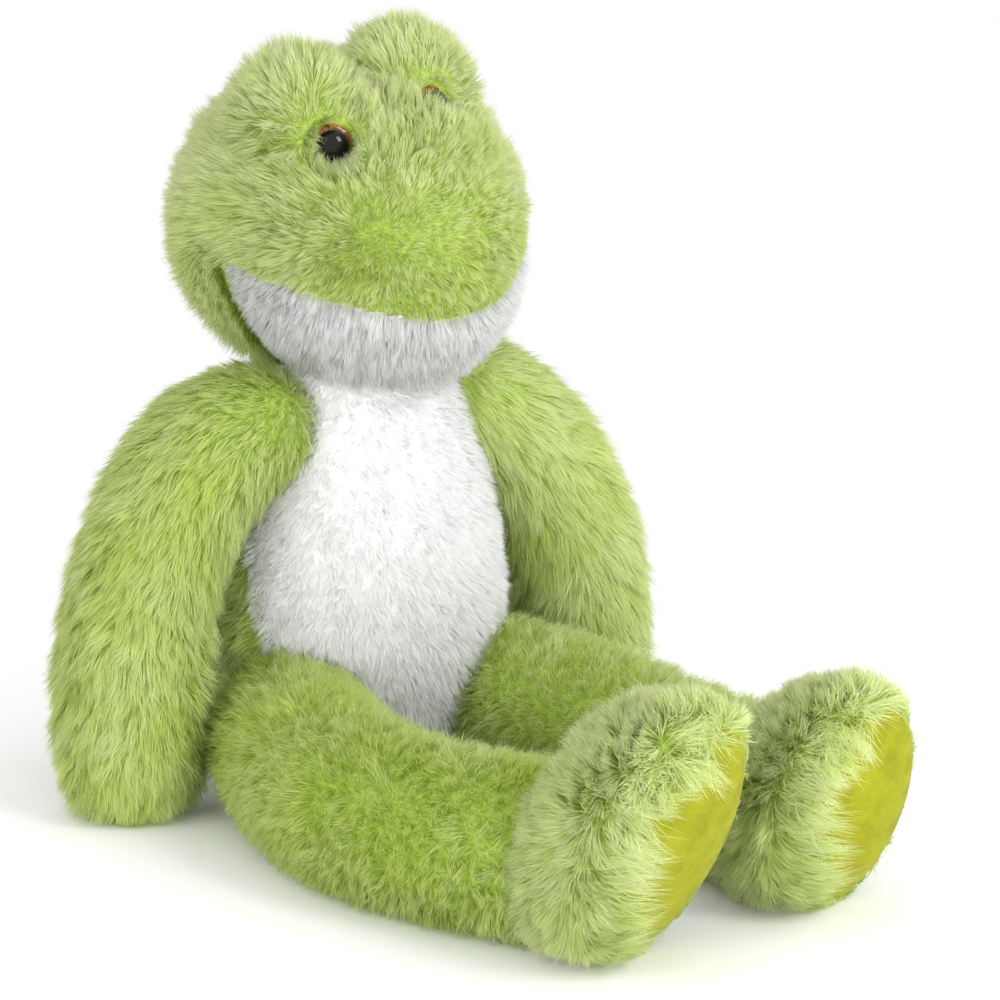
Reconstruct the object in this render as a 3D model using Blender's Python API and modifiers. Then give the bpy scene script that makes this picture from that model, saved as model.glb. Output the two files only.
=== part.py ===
"""A seated plush frog: fur-fabric skins over stuffing cores, with ball-ended limbs and a turning head.

The frog faces -Y with its own left at +X. The origin lies on the floor under the seat.
"""
from math import cos, pi, radians, sin, tan

import bmesh
import bpy
import numpy as np
from mathutils import Matrix, Vector

# Driving dimensions, in metres and degrees.
GAP = 0.0003  # between touching pieces
FLOOR_FLAT = 0.0005  # depth of the flat that each part rests on
OVERRUN = 0.012  # how far a cutter runs past what it cuts

TORSO_HEIGHT = 0.1492
TORSO_HALF_WIDTH = 0.050
TORSO_HALF_DEPTH = 0.046
TORSO_BACK_SHIFT = 0.013  # the torso's middle lies behind the origin
TORSO_SKIN = 0.007
BELLY_HALF_WIDTH = 0.047
BELLY_BOTTOM = 0.010
BELLY_REACH_BACK = 0.012  # how far behind the origin the belly's side seams may run
NECK_RADIUS = 0.016
NECK_PLUG_HEIGHT = 0.014  # of stuffing above the torso's top

HEAD_HALF_WIDTH = 0.054
HEAD_HALF_DEPTH = 0.053
HEAD_HALF_HEIGHT = 0.050
HEAD_BACK_SHIFT = 0.019
HEAD_RISE = 0.0478  # of the head's middle above the torso's top
HEAD_ROLL = radians(9)  # towards the frog's right
HEAD_SKIN = 0.007
SNOUT_REACH = 0.024
SNOUT_POWER = 2.2
JAW_DROP = 0.012
MOUND_HALF_WIDTH = 0.020
MOUND_HALF_DEPTH = 0.019
MOUND_HALF_HEIGHT = 0.022
MOUND_APART = 0.042  # between the mounds' middles
MOUND_FORWARD = 0.017
MOUND_RISE = 0.038
MOUTH_DROP = 0.026  # the mouth line's middle below the head's centre
SMILE_RISE = 0.024  # from the mouth's middle to its corners
CHIN_BACK = 0.006  # the chin's side seams, forward of the head's centre

EYE_APART = 0.0412
EYE_RISE = 0.034
EYE_STAGGER = 0.002  # the left eye is sewn this much higher than the mean, the right one lower
EYE_RECESS = 0.0025  # the eye's seat below the mound's surface
EYE_OUTWARD = radians(25)
EYE_UPWARD = radians(4)
IRIS_RADIUS = 0.0074
IRIS_THICKNESS = 0.0018
PUPIL_RADIUS = 0.0056
PUPIL_RISE = 0.0034
SHANK_RADIUS = 0.0023
SHANK_LENGTH = 0.012
WASHER_RADIUS = 0.0078
WASHER_THICKNESS = 0.0015
EYE_FABRIC = 0.0035  # skin pinched between the iris disc and the washer

SHOULDER_OUT = 0.046
SHOULDER_BACK = 0.006
SHOULDER_DROP = 0.0202  # below the torso's top
SHOULDER_BALL = 0.0215
ARM_RADIUS = 0.0220
ARM_SKIN = 0.0065
ARM_BOW = 0.0485  # how far the elbow lies outside the shoulder

HIP_OUT = 0.042
HIP_FORWARD = 0.007
HIP_HEIGHT = 0.0255
HIP_BALL = 0.0260
LEG_RADIUS = 0.0250
LEG_SKIN = 0.0065
LEG_LENGTH = 0.176
LEG_LIFT = radians(15)  # the leg can rise this far before it meets the belly
RIGHT_LEG_BOW = 0.027
LEFT_LEG_BOW = 0.003
RIGHT_HEEL_OUT = 0.041
LEFT_HEEL_OUT = 0.037

FOOT_HALF_WIDTH = 0.0265
RIGHT_FOOT_HALF_LENGTH = 0.045
LEFT_FOOT_HALF_LENGTH = 0.037  # this foot has slumped shorter
FOOT_DEPTH = 0.041
FOOT_SKIN = 0.0065
RIGHT_FOOT_HEIGHT = 0.0430  # of the sole's middle
LEFT_FOOT_HEIGHT = 0.0365
FOOT_SINK = 0.003  # how far the foot's thickest ring lies below the sole's middle
RIGHT_FOOT_FORWARD = 0.221  # the sole's middle in front of the origin
LEFT_FOOT_FORWARD = 0.212
RIGHT_FOOT_TILT = radians(23)  # of the sole from upright, the toes leaning forward
LEFT_FOOT_TILT = radians(14)
RIGHT_FOOT_TURN = radians(4)  # about the vertical, both towards the frog's left
LEFT_FOOT_TURN = radians(2)
SOLE_DOME = 0.004
SOLE_EDGE = 0.0018  # the sole's thickness at its rim

# Outline points as hand-chosen shares of the sizes above.
# Torso rings: height, half width, half depth and back shift.
TORSO_SHARES = (
    (-0.018, 0.58, 0.52, 1.25),
    (0.07, 0.84, 0.82, 1.15),
    (0.22, 0.99, 0.98, 1.05),
    (0.42, 1.02, 1.02, 1.0),
    (0.61, 0.96, 0.96, 1.0),
    (0.78, 0.83, 0.80, 0.95),
    (0.92, 0.67, 0.63, 0.85),
    (1.04, 0.52, 0.52, 0.80),
    (1.12, 0.45, 0.46, 0.80),
)
# Belly outline: height share of the torso, half width share of the panel.
BELLY_SHARES = (
    (0.0, 0.28),
    (0.07, 0.46),
    (0.16, 0.76),
    (0.27, 0.97),
    (0.40, 1.03),
    (0.55, 1.01),
    (0.70, 0.92),
    (0.85, 0.78),
    (1.04, 0.58),
)
# Arm spines: outward share of the bow, drop share of the shoulder height, radius share.
RIGHT_ARM_SHARES = (
    (0.0, 0.0, 0.92),
    (0.34, 0.045, 0.98),
    (0.69, 0.20, 0.97),
    (0.92, 0.41, 0.98),
    (1.0, 0.62, 1.0),
    (0.99, 0.852, 1.0),
)
LEFT_ARM_SHARES = (
    (0.0, 0.0, 0.92),
    (0.32, 0.10, 0.92),
    (0.66, 0.25, 0.95),
    (0.91, 0.44, 0.98),
    (1.0, 0.63, 1.0),
    (0.99, 0.852, 1.0),
)
ARM_END_BACK_SHARE = 0.02  # of the shoulder height, how far the hand lies behind the shoulder
# Leg spine: share of the length, share of the bow, radius share.
LEG_SHARES = (
    (0.0, 0.0, 0.94),
    (0.18, 0.50, 1.0),
    (0.40, 0.98, 1.0),
    (0.60, 1.0, 0.98),
    (0.80, 0.60, 0.98),
    (0.94, 0.16, 1.0),
)
# Foot rings from the sole backward: depth share, size share, share of the sink.
FOOT_SHARES = (
    (0.04, 1.0, 0.0),
    (0.18, 1.05, 0.3),
    (0.42, 1.06, 1.0),
    (0.66, 0.95, 1.6),
    (0.87, 0.70, 2.6),
)
SOLE_CROWN_SHARE = 0.7  # of the sole's dome, where its inner ring lies
SOLE_CROWN_WIDTH_SHARE = 0.72
MOUTH_SHARE = 0.75  # of a limb's hollow, the opening inside its ball that it is stuffed through
SMILE_REACH_SHARE = 1.3  # of the head's half width, past its sides
END_ANGLES = (radians(42),)  # rings of a rounded end

TORSO_SIDES = 12
LIMB_SIDES = 9
FOOT_SIDES = 10
CORE_SIDES = 12  # of the plain forms inside
HEAD_SEGMENTS = 14
HEAD_RINGS = 9
HEAD_CORE_SEGMENTS = 16
HEAD_CORE_RINGS = 10
MOUND_SEGMENTS = 12
MOUND_RINGS = 8
BALL_SEGMENTS = 16
TURNED_STEPS = 20
DOME_STEPS = 4
SMILE_POINTS = 13

GREEN_FUR = "#a3c85c"
LEG_GREEN_FUR = "#9ac24a"
WHITE_FUR = "#f1f1ee"
SOLE_SUEDE = "#b8b12a"
AMBER = "#b8742a"
BLACK = "#0a0a0a"
FIBREFILL = "#e9e6df"
WASHER_WHITE = "#e4e2da"


def clear_scene():
    """Removes every object that Blender's start-up scene holds."""
    for thing in list(bpy.data.objects):
        bpy.data.objects.remove(thing, do_unlink=True)


def new_collection(name):
    group = bpy.data.collections.new(name)
    bpy.context.scene.collection.children.link(group)
    return group


clear_scene()
FROG = new_collection("plush_frog")
CUTTERS = new_collection("cutters")
MATERIALS = {}


def linear(hex_colour):
    """The linear RGBA colour of an sRGB hex string."""
    shares = [int(hex_colour[i : i + 2], 16) / 255 for i in (1, 3, 5)]
    return [s / 12.92 if s <= 0.04045 else ((s + 0.055) / 1.055) ** 2.4 for s in shares] + [1.0]


def material(name, colour, roughness):
    if name not in MATERIALS:
        made = bpy.data.materials.new(name)
        made.use_nodes = True
        shader = made.node_tree.nodes["Principled BSDF"]
        shader.inputs["Base Color"].default_value = linear(colour)
        shader.inputs["Roughness"].default_value = roughness
        shader.inputs["Metallic"].default_value = 0.0
        MATERIALS[name] = made
    return MATERIALS[name]


def add_object(name, mesh):
    """Every object starts as a cutter, and finish() makes the pieces of some."""
    thing = bpy.data.objects.new(name, mesh)
    CUTTERS.objects.link(thing)
    thing.hide_render = True
    thing.display_type = "WIRE"
    return thing


def mesh_object(name, builder):
    """A named object whose mesh is what builder adds to an empty bmesh."""
    shape = bmesh.new()
    builder(shape)
    bmesh.ops.recalc_face_normals(shape, faces=shape.faces)
    mesh = bpy.data.meshes.new(name)
    shape.to_mesh(mesh)
    shape.free()
    mesh.shade_smooth()
    return add_object(name, mesh)


def facet(thing, smooth):
    """Subdivides a smooth form, and splits every quad the same way, so that nested forms keep their gap."""
    if smooth:
        subdivision = thing.modifiers.new("Subdivision", "SUBSURF")
        subdivision.levels = 1
        subdivision.render_levels = 1
    split = thing.modifiers.new("Triangulate", "TRIANGULATE")
    split.quad_method = "FIXED"
    return thing


def boolean(thing, other, operation="DIFFERENCE"):
    modifier = thing.modifiers.new(operation.title() + " " + other.name, "BOOLEAN")
    modifier.operation = operation
    modifier.object = other
    modifier.solver = "EXACT"
    return thing


def cage_scale(sides):
    """How much wider a cage of this many sides is than the smooth ring that it makes."""
    return 3 / (2 + cos(2 * pi / sides))


def ring(centre, side, up, half_width, half_height, sides, smooth):
    """Points of an ellipse about centre, in the plane of the unit vectors side and up."""
    angles = np.linspace(0, 2 * pi, sides, endpoint=False)
    scale = cage_scale(sides) if smooth else 1.0
    across = np.outer(np.cos(angles) * half_width * scale, side)
    along = np.outer(np.sin(angles) * half_height * scale, up)
    return np.asarray(centre) + across + along


def loft(name, rings, first_pole, last_pole, smooth):
    """A closed body through rings of points, with a fan to a pole at each end.

    A smooth one is the cage of a subdivided surface, and a plain one serves inside another form.
    """

    def build(shape):
        rows = [[shape.verts.new(point) for point in points] for points in rings]
        sides = len(rows[0])
        for low, high in zip(rows, rows[1:]):
            for i in range(sides):
                j = (i + 1) % sides
                shape.faces.new((low[i], low[j], high[j], high[i]))
        for row, pole in ((rows[0], first_pole), (rows[-1], last_pole)):
            tip = shape.verts.new(pole)
            for i in range(sides):
                shape.faces.new((row[i], row[(i + 1) % sides], tip))

    return facet(mesh_object(name, build), smooth)


def unit(vector):
    vector = np.asarray(vector, float)
    return vector / np.linalg.norm(vector)


def spine_loft(name, points, radii, reference, smooth=True):
    """A tube of changing radius along a spine, with rounded ends past its first and last points.

    Each ring stands square to the spine, and its first point faces across the reference direction.
    """
    sides = LIMB_SIDES if smooth else CORE_SIDES
    points = np.asarray(points, float)
    steps = [unit(step) for step in np.diff(points, axis=0)]
    tangents = [unit(before + after) for before, after in zip([steps[0], *steps], [*steps, steps[-1]])]
    rings = []

    def add(centre, tangent, radius):
        side = unit(np.cross(tangent, reference))
        rings.append(ring(centre, side, np.cross(side, tangent), radius, radius, sides, smooth))

    for angle in reversed(END_ANGLES):
        back = points[0] - tangents[0] * radii[0] * sin(angle)
        add(back, tangents[0], radii[0] * cos(angle))
    for point, tangent, radius in zip(points, tangents, radii):
        add(point, tangent, radius)
    for angle in END_ANGLES:
        ahead = points[-1] + tangents[-1] * radii[-1] * sin(angle)
        add(ahead, tangents[-1], radii[-1] * cos(angle))
    first_pole = points[0] - tangents[0] * radii[0]
    last_pole = points[-1] + tangents[-1] * radii[-1]
    return loft(name, rings, first_pole, last_pole, smooth)


def ball(name, centre, radius):
    """A sphere whose vertices lie at this radius."""

    def build(shape):
        rings = BALL_SEGMENTS * 2 // 3
        bmesh.ops.create_uvsphere(shape, u_segments=BALL_SEGMENTS, v_segments=rings, radius=radius)

    thing = mesh_object(name, build)
    thing.location = centre
    return thing


def socket_radius(radius):
    """The vertex radius of a faceted socket that clears a turning ball of this radius."""
    rings = BALL_SEGMENTS * 2 // 3
    return (radius + GAP) / (cos(pi / BALL_SEGMENTS) * cos(pi / rings / 2))


def box(name, low, high):
    low = np.asarray(low, float)
    high = np.asarray(high, float)

    def build(shape):
        middle = Matrix.Translation(Vector((low + high) / 2))
        size = Matrix.Diagonal(Vector((*(high - low), 1)))
        bmesh.ops.create_cube(shape, size=1, matrix=middle @ size)

    return mesh_object(name, build)


def cylinder(name, frame, radius, low, high):
    """A cylinder about the frame's own Z axis, from low to high along it."""

    def build(shape):
        matrix = Matrix.Translation((0, 0, (low + high) / 2))
        bmesh.ops.create_cone(
            shape, cap_ends=True, segments=TURNED_STEPS, radius1=radius, radius2=radius,
            depth=high - low, matrix=matrix,
        )

    thing = mesh_object(name, build)
    thing.matrix_world = frame
    return thing


def prism(name, outline, frame, front, back):
    """An outline in the frame's XZ plane, filled between front and back along its Y axis."""

    def build(shape):
        near = [shape.verts.new((x, front, z)) for x, z in outline]
        far = [shape.verts.new((x, back, z)) for x, z in outline]
        shape.faces.new(near)
        shape.faces.new(list(reversed(far)))
        for i in range(len(outline)):
            j = (i + 1) % len(outline)
            shape.faces.new((near[i], far[i], far[j], near[j]))

    thing = mesh_object(name, build)
    thing.matrix_world = frame
    return thing


def turned(name, profile, frame, closed=False):
    """A solid turned about the frame's Z axis from (radius, height) points, down its outer side first."""
    mesh = bpy.data.meshes.new(name)
    edges = [(i, i + 1) for i in range(len(profile) - 1)]
    if closed:
        edges.append((len(profile) - 1, 0))
    mesh.from_pydata([(radius, 0, height) for radius, height in profile], edges, [])
    thing = add_object(name, mesh)
    screw = thing.modifiers.new("Screw", "SCREW")
    screw.steps = TURNED_STEPS
    screw.render_steps = TURNED_STEPS
    screw.use_merge_vertices = True
    screw.merge_threshold = 1e-6
    thing.matrix_world = frame
    return thing


def finish(thing, slot, colour, roughness):
    """Names the piece's material and moves the object into the frog's collection."""
    thing.data.materials.append(material(slot, colour, roughness))
    for group in list(thing.users_collection):
        group.objects.unlink(thing)
    FROG.objects.link(thing)
    thing.hide_render = False
    thing.display_type = "TEXTURED"
    return thing


# Frames. The head's own frame has its origin at the head's centre, rolled about Y.
HEAD_CENTRE = Vector((0, HEAD_BACK_SHIFT, TORSO_HEIGHT + HEAD_RISE))
HEAD_FRAME = Matrix.Translation(HEAD_CENTRE) @ Matrix.Rotation(-HEAD_ROLL, 4, "Y")
SIDES = {"left": 1, "right": -1}
WIDE = TORSO_HEIGHT + HEAD_CENTRE.z  # longer than any piece of the frog
SHOULDER_HEIGHT = TORSO_HEIGHT - SHOULDER_DROP


def shoulder(side):
    return np.array((SIDES[side] * SHOULDER_OUT, SHOULDER_BACK, SHOULDER_HEIGHT))


def hip(side):
    return np.array((SIDES[side] * HIP_OUT, -HIP_FORWARD, HIP_HEIGHT))


def torso_form(name, inset=0.0, smooth=True):
    """The torso's pear shape, smaller all round by the inset."""
    sides = TORSO_SIDES if smooth else CORE_SIDES
    rings = []
    lowest = inset if inset > 0 else TORSO_SHARES[0][0] * TORSO_HEIGHT
    for height, width, depth, shift in TORSO_SHARES:
        level = max(height * TORSO_HEIGHT, lowest)
        centre = (0, shift * TORSO_BACK_SHIFT, level)
        half_width = width * TORSO_HALF_WIDTH - inset
        half_depth = depth * TORSO_HALF_DEPTH - inset
        rings.append(ring(centre, (1, 0, 0), (0, 1, 0), half_width, half_depth, sides, smooth))
    bottom = (0, TORSO_BACK_SHIFT, lowest)
    top = (0, TORSO_SHARES[-1][3] * TORSO_BACK_SHIFT, TORSO_HEIGHT + OVERRUN * 2)
    return loft(name, rings, bottom, top, smooth)


def head_form(name, inset=0.0, smooth=True, mounds=True):
    """The head: a ball stretched forward into a snout and down into a jaw, with two eye mounds."""
    half = np.array((HEAD_HALF_WIDTH, HEAD_HALF_DEPTH, HEAD_HALF_HEIGHT)) - inset
    scale = cage_scale(HEAD_SEGMENTS) if smooth else 1.0
    segments = HEAD_SEGMENTS if smooth else HEAD_CORE_SEGMENTS
    rings = HEAD_RINGS if smooth else HEAD_CORE_RINGS

    def build(shape):
        bmesh.ops.create_uvsphere(shape, u_segments=segments, v_segments=rings, radius=1)
        for vert in shape.verts:
            across, back, up = vert.co
            ahead = max(0.0, -back)
            reach = SNOUT_REACH * ahead**SNOUT_POWER
            drop = JAW_DROP * 2 * ahead * max(0.0, -up)
            vert.co = Vector((half[0] * across, half[1] * back, half[2] * up)) * scale
            vert.co -= Vector((0, reach, drop))

    form = facet(mesh_object(name, build), smooth)
    form.matrix_world = HEAD_FRAME
    for side, sign in SIDES.items() if mounds else ():
        boolean(form, mound_form(name + "_mound_" + side, sign, inset), "UNION")
    return form


def mound_form(name, sign, inset):
    sizes = np.array((MOUND_HALF_WIDTH, MOUND_HALF_DEPTH, MOUND_HALF_HEIGHT)) - inset

    def build(shape):
        bmesh.ops.create_uvsphere(shape, u_segments=MOUND_SEGMENTS, v_segments=MOUND_RINGS, radius=1)
        for vert in shape.verts:
            vert.co = Vector(sizes * np.array(vert.co))

    thing = facet(mesh_object(name, build), False)
    place = Matrix.Translation((sign * MOUND_APART / 2, -MOUND_FORWARD, MOUND_RISE))
    thing.matrix_world = HEAD_FRAME @ place
    return thing


def eye_frame(sign):
    """Local Z runs out of the eye, and its origin is the middle of the eye's seat."""
    surface = MOUND_FORWARD + MOUND_HALF_DEPTH - EYE_RECESS
    seat = Vector((sign * EYE_APART / 2, -surface, EYE_RISE + sign * EYE_STAGGER))
    outward = Vector((
        sign * sin(EYE_OUTWARD) * cos(EYE_UPWARD),
        -cos(EYE_OUTWARD) * cos(EYE_UPWARD),
        sin(EYE_UPWARD),
    ))
    turn = outward.to_track_quat("Z", "Y").to_matrix().to_4x4()
    return HEAD_FRAME @ Matrix.Translation(seat) @ turn


def arm_spine(side):
    """The arm's spine points and radii, from the shoulder to the hand."""
    start = shoulder(side)
    points = []
    radii = []
    for out, drop, radius in RIGHT_ARM_SHARES if side == "right" else LEFT_ARM_SHARES:
        offset = (SIDES[side] * out * ARM_BOW, drop * ARM_END_BACK_SHARE * SHOULDER_HEIGHT,
                  -drop * SHOULDER_HEIGHT)
        points.append(start + np.array(offset))
        radii.append(radius * ARM_RADIUS)
    return points, radii


def leg_spine(side):
    """The leg's spine points and radii, from the hip to the ankle."""
    start = hip(side)
    bow = RIGHT_LEG_BOW if side == "right" else LEFT_LEG_BOW
    heel_out = RIGHT_HEEL_OUT if side == "right" else LEFT_HEEL_OUT
    points = []
    radii = []
    for along, outward, share in LEG_SHARES:
        radius = share * LEG_RADIUS
        out = HIP_OUT + (heel_out - HIP_OUT) * along + bow * outward
        height = HIP_HEIGHT + (radius - FLOOR_FLAT - HIP_HEIGHT) * min(1.0, along / LEG_SHARES[1][0])
        points.append(np.array((SIDES[side] * out, start[1] - along * LEG_LENGTH, height)))
        radii.append(radius)
    return points, radii


def foot_frame(side):
    """Local Z runs out of the sole, X across it and Y up along it, and its origin is the sole's middle."""
    right = side == "right"
    turn = RIGHT_FOOT_TURN if right else LEFT_FOOT_TURN
    tilt = RIGHT_FOOT_TILT if right else LEFT_FOOT_TILT
    forward = RIGHT_FOOT_FORWARD if right else LEFT_FOOT_FORWARD
    heel_out = RIGHT_HEEL_OUT if right else LEFT_HEEL_OUT
    height = RIGHT_FOOT_HEIGHT if right else LEFT_FOOT_HEIGHT
    middle = Matrix.Translation((SIDES[side] * heel_out, -forward, height))
    facing = Matrix.Rotation(turn, 4, "Z") @ Matrix.Rotation(pi / 2 + tilt, 4, "X")
    return middle @ facing


def foot_form(name, side, inset=0.0, overrun=0.0, smooth=True):
    """The foot from its sole backward; the overrun lengthens it past the sole.

    Its rings lie parallel to the sole, and their middles run straight back from it and sink.
    """
    frame = np.array(foot_frame(side))
    slope = tan(RIGHT_FOOT_TILT if side == "right" else LEFT_FOOT_TILT)
    sides = FOOT_SIDES if smooth else CORE_SIDES
    width = FOOT_HALF_WIDTH - inset
    length = (RIGHT_FOOT_HALF_LENGTH if side == "right" else LEFT_FOOT_HALF_LENGTH) - inset
    rings = []

    def middle(depth, sink=0.0):
        return (frame @ (0, -depth * slope - sink, -depth, 1))[:3]

    def add(centre, size):
        rings.append(
            ring(centre, frame[:3, 0], frame[:3, 1], width * size, length * size, sides, smooth)
        )

    if overrun:
        add(middle(-overrun), FOOT_SHARES[0][1])
    else:
        add(middle(-SOLE_DOME * SOLE_CROWN_SHARE), FOOT_SHARES[0][1] * SOLE_CROWN_WIDTH_SHARE)
    for depth, size, sink in FOOT_SHARES:
        add(middle(depth * (FOOT_DEPTH - inset), sink * FOOT_SINK), size)
    first_pole = middle(-SOLE_DOME - overrun)
    last_pole = middle(FOOT_DEPTH - inset, FOOT_SHARES[-1][2] * FOOT_SINK)
    return loft(name, rings, first_pole, last_pole, smooth)


# Cutters that several pieces share.
FLOOR = box("below_floor", (-WIDE, -WIDE, -WIDE), (WIDE, WIDE, 0))
ABOVE_TORSO = box("above_torso", (-WIDE, -WIDE, TORSO_HEIGHT), (WIDE, WIDE, WIDE))
BELOW_HEAD = box("below_head", (-WIDE, -WIDE, -WIDE), (WIDE, WIDE, TORSO_HEIGHT + GAP))
UPRIGHT = Matrix.Translation((0, TORSO_SHARES[-1][3] * TORSO_BACK_SHIFT, 0))


def hip_sweep(side):
    """The space that the thigh needs: a ball drawn out forward and down, as far as the leg swings."""
    radius = socket_radius(HIP_BALL)
    forward = Vector((0, -cos(LEG_LIFT), sin(LEG_LIFT))) * TORSO_HEIGHT
    down = Vector((0, 0, -TORSO_HEIGHT))

    def build(shape):
        half_step = pi / BALL_SEGMENTS
        turn = Matrix.Rotation(half_step, 4, "X") @ Matrix.Rotation(pi / 2, 4, "Y")
        rings = BALL_SEGMENTS * 2 // 3
        bmesh.ops.create_uvsphere(
            shape, u_segments=BALL_SEGMENTS, v_segments=rings, radius=radius, matrix=turn
        )
        for vert in shape.verts:
            ahead = vert.co.y < 0
            below = vert.co.z < 0
            vert.co += forward * ahead + down * below

    thing = mesh_object("hip_sweep_" + side, build)
    thing.location = hip(side)
    return thing


def belly_prism(name, gap):
    """The belly panel's outline, drawn in by the gap at its sides, bottom and back."""
    span = TORSO_HEIGHT - BELLY_BOTTOM
    right = [
        (share * BELLY_HALF_WIDTH - gap, BELLY_BOTTOM + gap + height * span)
        for height, share in BELLY_SHARES
    ]
    left = [(-x, z) for x, z in reversed(right)]
    return prism(name, right + left, Matrix.Identity(4), -WIDE, BELLY_REACH_BACK - gap)


def chin_prism(name, gap):
    """All that lies below the mouth line, drawn in by the gap at the mouth and the side seams."""
    shares = np.linspace(-SMILE_REACH_SHARE, SMILE_REACH_SHARE, SMILE_POINTS)
    mouth = [
        (share * HEAD_HALF_WIDTH, SMILE_RISE * share**2 - MOUTH_DROP - gap) for share in shares
    ]
    corner = HEAD_HALF_WIDTH * shares[-1]
    outline = [(-corner, -WIDE), *mouth, (corner, -WIDE)]
    return prism(name, outline, HEAD_FRAME, -WIDE, -CHIN_BACK - gap)


def make_torso():
    sockets = [ball("shoulder_socket_" + side, shoulder(side), socket_radius(SHOULDER_BALL))
               for side in SIDES]
    sweeps = [hip_sweep(side) for side in SIDES]
    cavity = torso_form("torso_cavity", TORSO_SKIN, smooth=False)
    back = torso_form("torso_back")
    boolean(back, cavity)
    boolean(back, belly_prism("belly_cut", 0.0))
    belly = torso_form("belly_panel")
    boolean(belly, cavity)
    boolean(belly, belly_prism("belly_outline", GAP), "INTERSECT")
    stuffing = torso_form("torso_stuffing", TORSO_SKIN + GAP, smooth=False)
    boolean(stuffing, ABOVE_TORSO)
    plug = cylinder("neck_plug", UPRIGHT, NECK_RADIUS, TORSO_HEIGHT - NECK_PLUG_HEIGHT,
                    TORSO_HEIGHT + NECK_PLUG_HEIGHT)
    for piece in (back, belly, stuffing):
        for cutter in (*sockets, *sweeps):
            boolean(piece, cutter)
    for piece in (back, belly):
        boolean(piece, ABOVE_TORSO)
    boolean(back, FLOOR)
    boolean(stuffing, plug, "UNION")
    finish(back, "green_fur", GREEN_FUR, 0.9)
    finish(belly, "white_fur", WHITE_FUR, 0.9)
    finish(stuffing, "fibrefill", FIBREFILL, 0.95)


def make_limb(skin, points, radii, reference, ball_radius, thickness, cutters):
    """Adds the limb's ball end to its skin, hollows it for its stuffing and opens it inside the ball."""
    name = skin.name.replace("_skin", "")
    inner = [radius - thickness for radius in radii]
    core = [radius - GAP for radius in inner]
    inward = pi + pi / 2 * np.sign(points[0][0])
    frame = Matrix.Translation(points[0]) @ Matrix.Rotation(inward, 4, "Y")
    boolean(skin, ball(name + "_ball", points[0], ball_radius), "UNION")
    boolean(skin, spine_loft(name + "_cavity", points, inner, reference, smooth=False))
    mouth_radius = inner[0] * MOUTH_SHARE
    boolean(skin, cylinder(name + "_mouth", frame, mouth_radius, 0, ball_radius + OVERRUN))
    stuffing = spine_loft(name.replace("_", "_stuffing_"), points, core, reference, smooth=False)
    for cutter in cutters:
        boolean(skin, cutter)
        boolean(stuffing, cutter)
    boolean(skin, FLOOR)
    finish(stuffing, "fibrefill", FIBREFILL, 0.95)


def make_arm(side):
    points, radii = arm_spine(side)
    across = (0, 1, 0)
    skin = spine_loft("arm_skin_" + side, points, radii, across)
    boolean(skin, TORSO_OUTSIDE)
    make_limb(skin, points, radii, across, SHOULDER_BALL, ARM_SKIN, ())
    finish(skin, "green_fur", GREEN_FUR, 0.9)


def make_leg(side):
    points, radii = leg_spine(side)
    upward = (0, 0, 1)
    foot_outside = foot_form("foot_outside_" + side, side, -GAP)
    skin = spine_loft("leg_skin_" + side, points, radii, upward)
    make_limb(skin, points, radii, upward, HIP_BALL, LEG_SKIN, (foot_outside,))
    finish(skin, "leg_green_fur", LEG_GREEN_FUR, 0.9)


def make_foot(side):
    frame = foot_frame(side)
    before = box("before_sole_" + side, (-WIDE, -WIDE, -SOLE_EDGE), (WIDE, WIDE, WIDE))
    behind = box("behind_sole_" + side, (-WIDE, -WIDE, -WIDE), (WIDE, WIDE, GAP - SOLE_EDGE))
    before.matrix_world = frame
    behind.matrix_world = frame
    skin = foot_form("foot_skin_" + side, side)
    boolean(skin, before)
    boolean(skin, foot_form("foot_cavity_" + side, side, FOOT_SKIN, OVERRUN, smooth=False))
    sole = foot_form("sole_" + side, side)
    boolean(sole, behind)
    stuffing = foot_form("foot_stuffing_" + side, side, FOOT_SKIN + GAP, OVERRUN, smooth=False)
    boolean(stuffing, before)
    boolean(skin, FLOOR)
    finish(skin, "leg_green_fur", LEG_GREEN_FUR, 0.9)
    finish(sole, "sole_suede", SOLE_SUEDE, 0.85)
    finish(stuffing, "fibrefill", FIBREFILL, 0.95)


def make_head():
    hole = cylinder("neck_hole", UPRIGHT, NECK_RADIUS + GAP, 0, TORSO_HEIGHT + NECK_PLUG_HEIGHT + GAP)
    skin = head_form("head_skin")
    boolean(skin, head_form("head_cavity", HEAD_SKIN, smooth=False))
    boolean(skin, chin_prism("chin_cut", 0.0))
    chin = head_form("chin_panel", mounds=False)
    boolean(chin, head_form("chin_cavity", HEAD_SKIN, smooth=False, mounds=False))
    boolean(chin, chin_prism("chin_outline", GAP), "INTERSECT")
    stuffing = head_form("head_stuffing", HEAD_SKIN + GAP, smooth=False)
    for piece in (skin, chin, stuffing):
        boolean(piece, BELOW_HEAD)
        boolean(piece, hole)
    for side, sign in SIDES.items():
        make_eye(side, sign, skin, stuffing)
    finish(skin, "green_fur", GREEN_FUR, 0.9)
    finish(chin, "white_fur", WHITE_FUR, 0.9)
    finish(stuffing, "fibrefill", FIBREFILL, 0.95)


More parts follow.
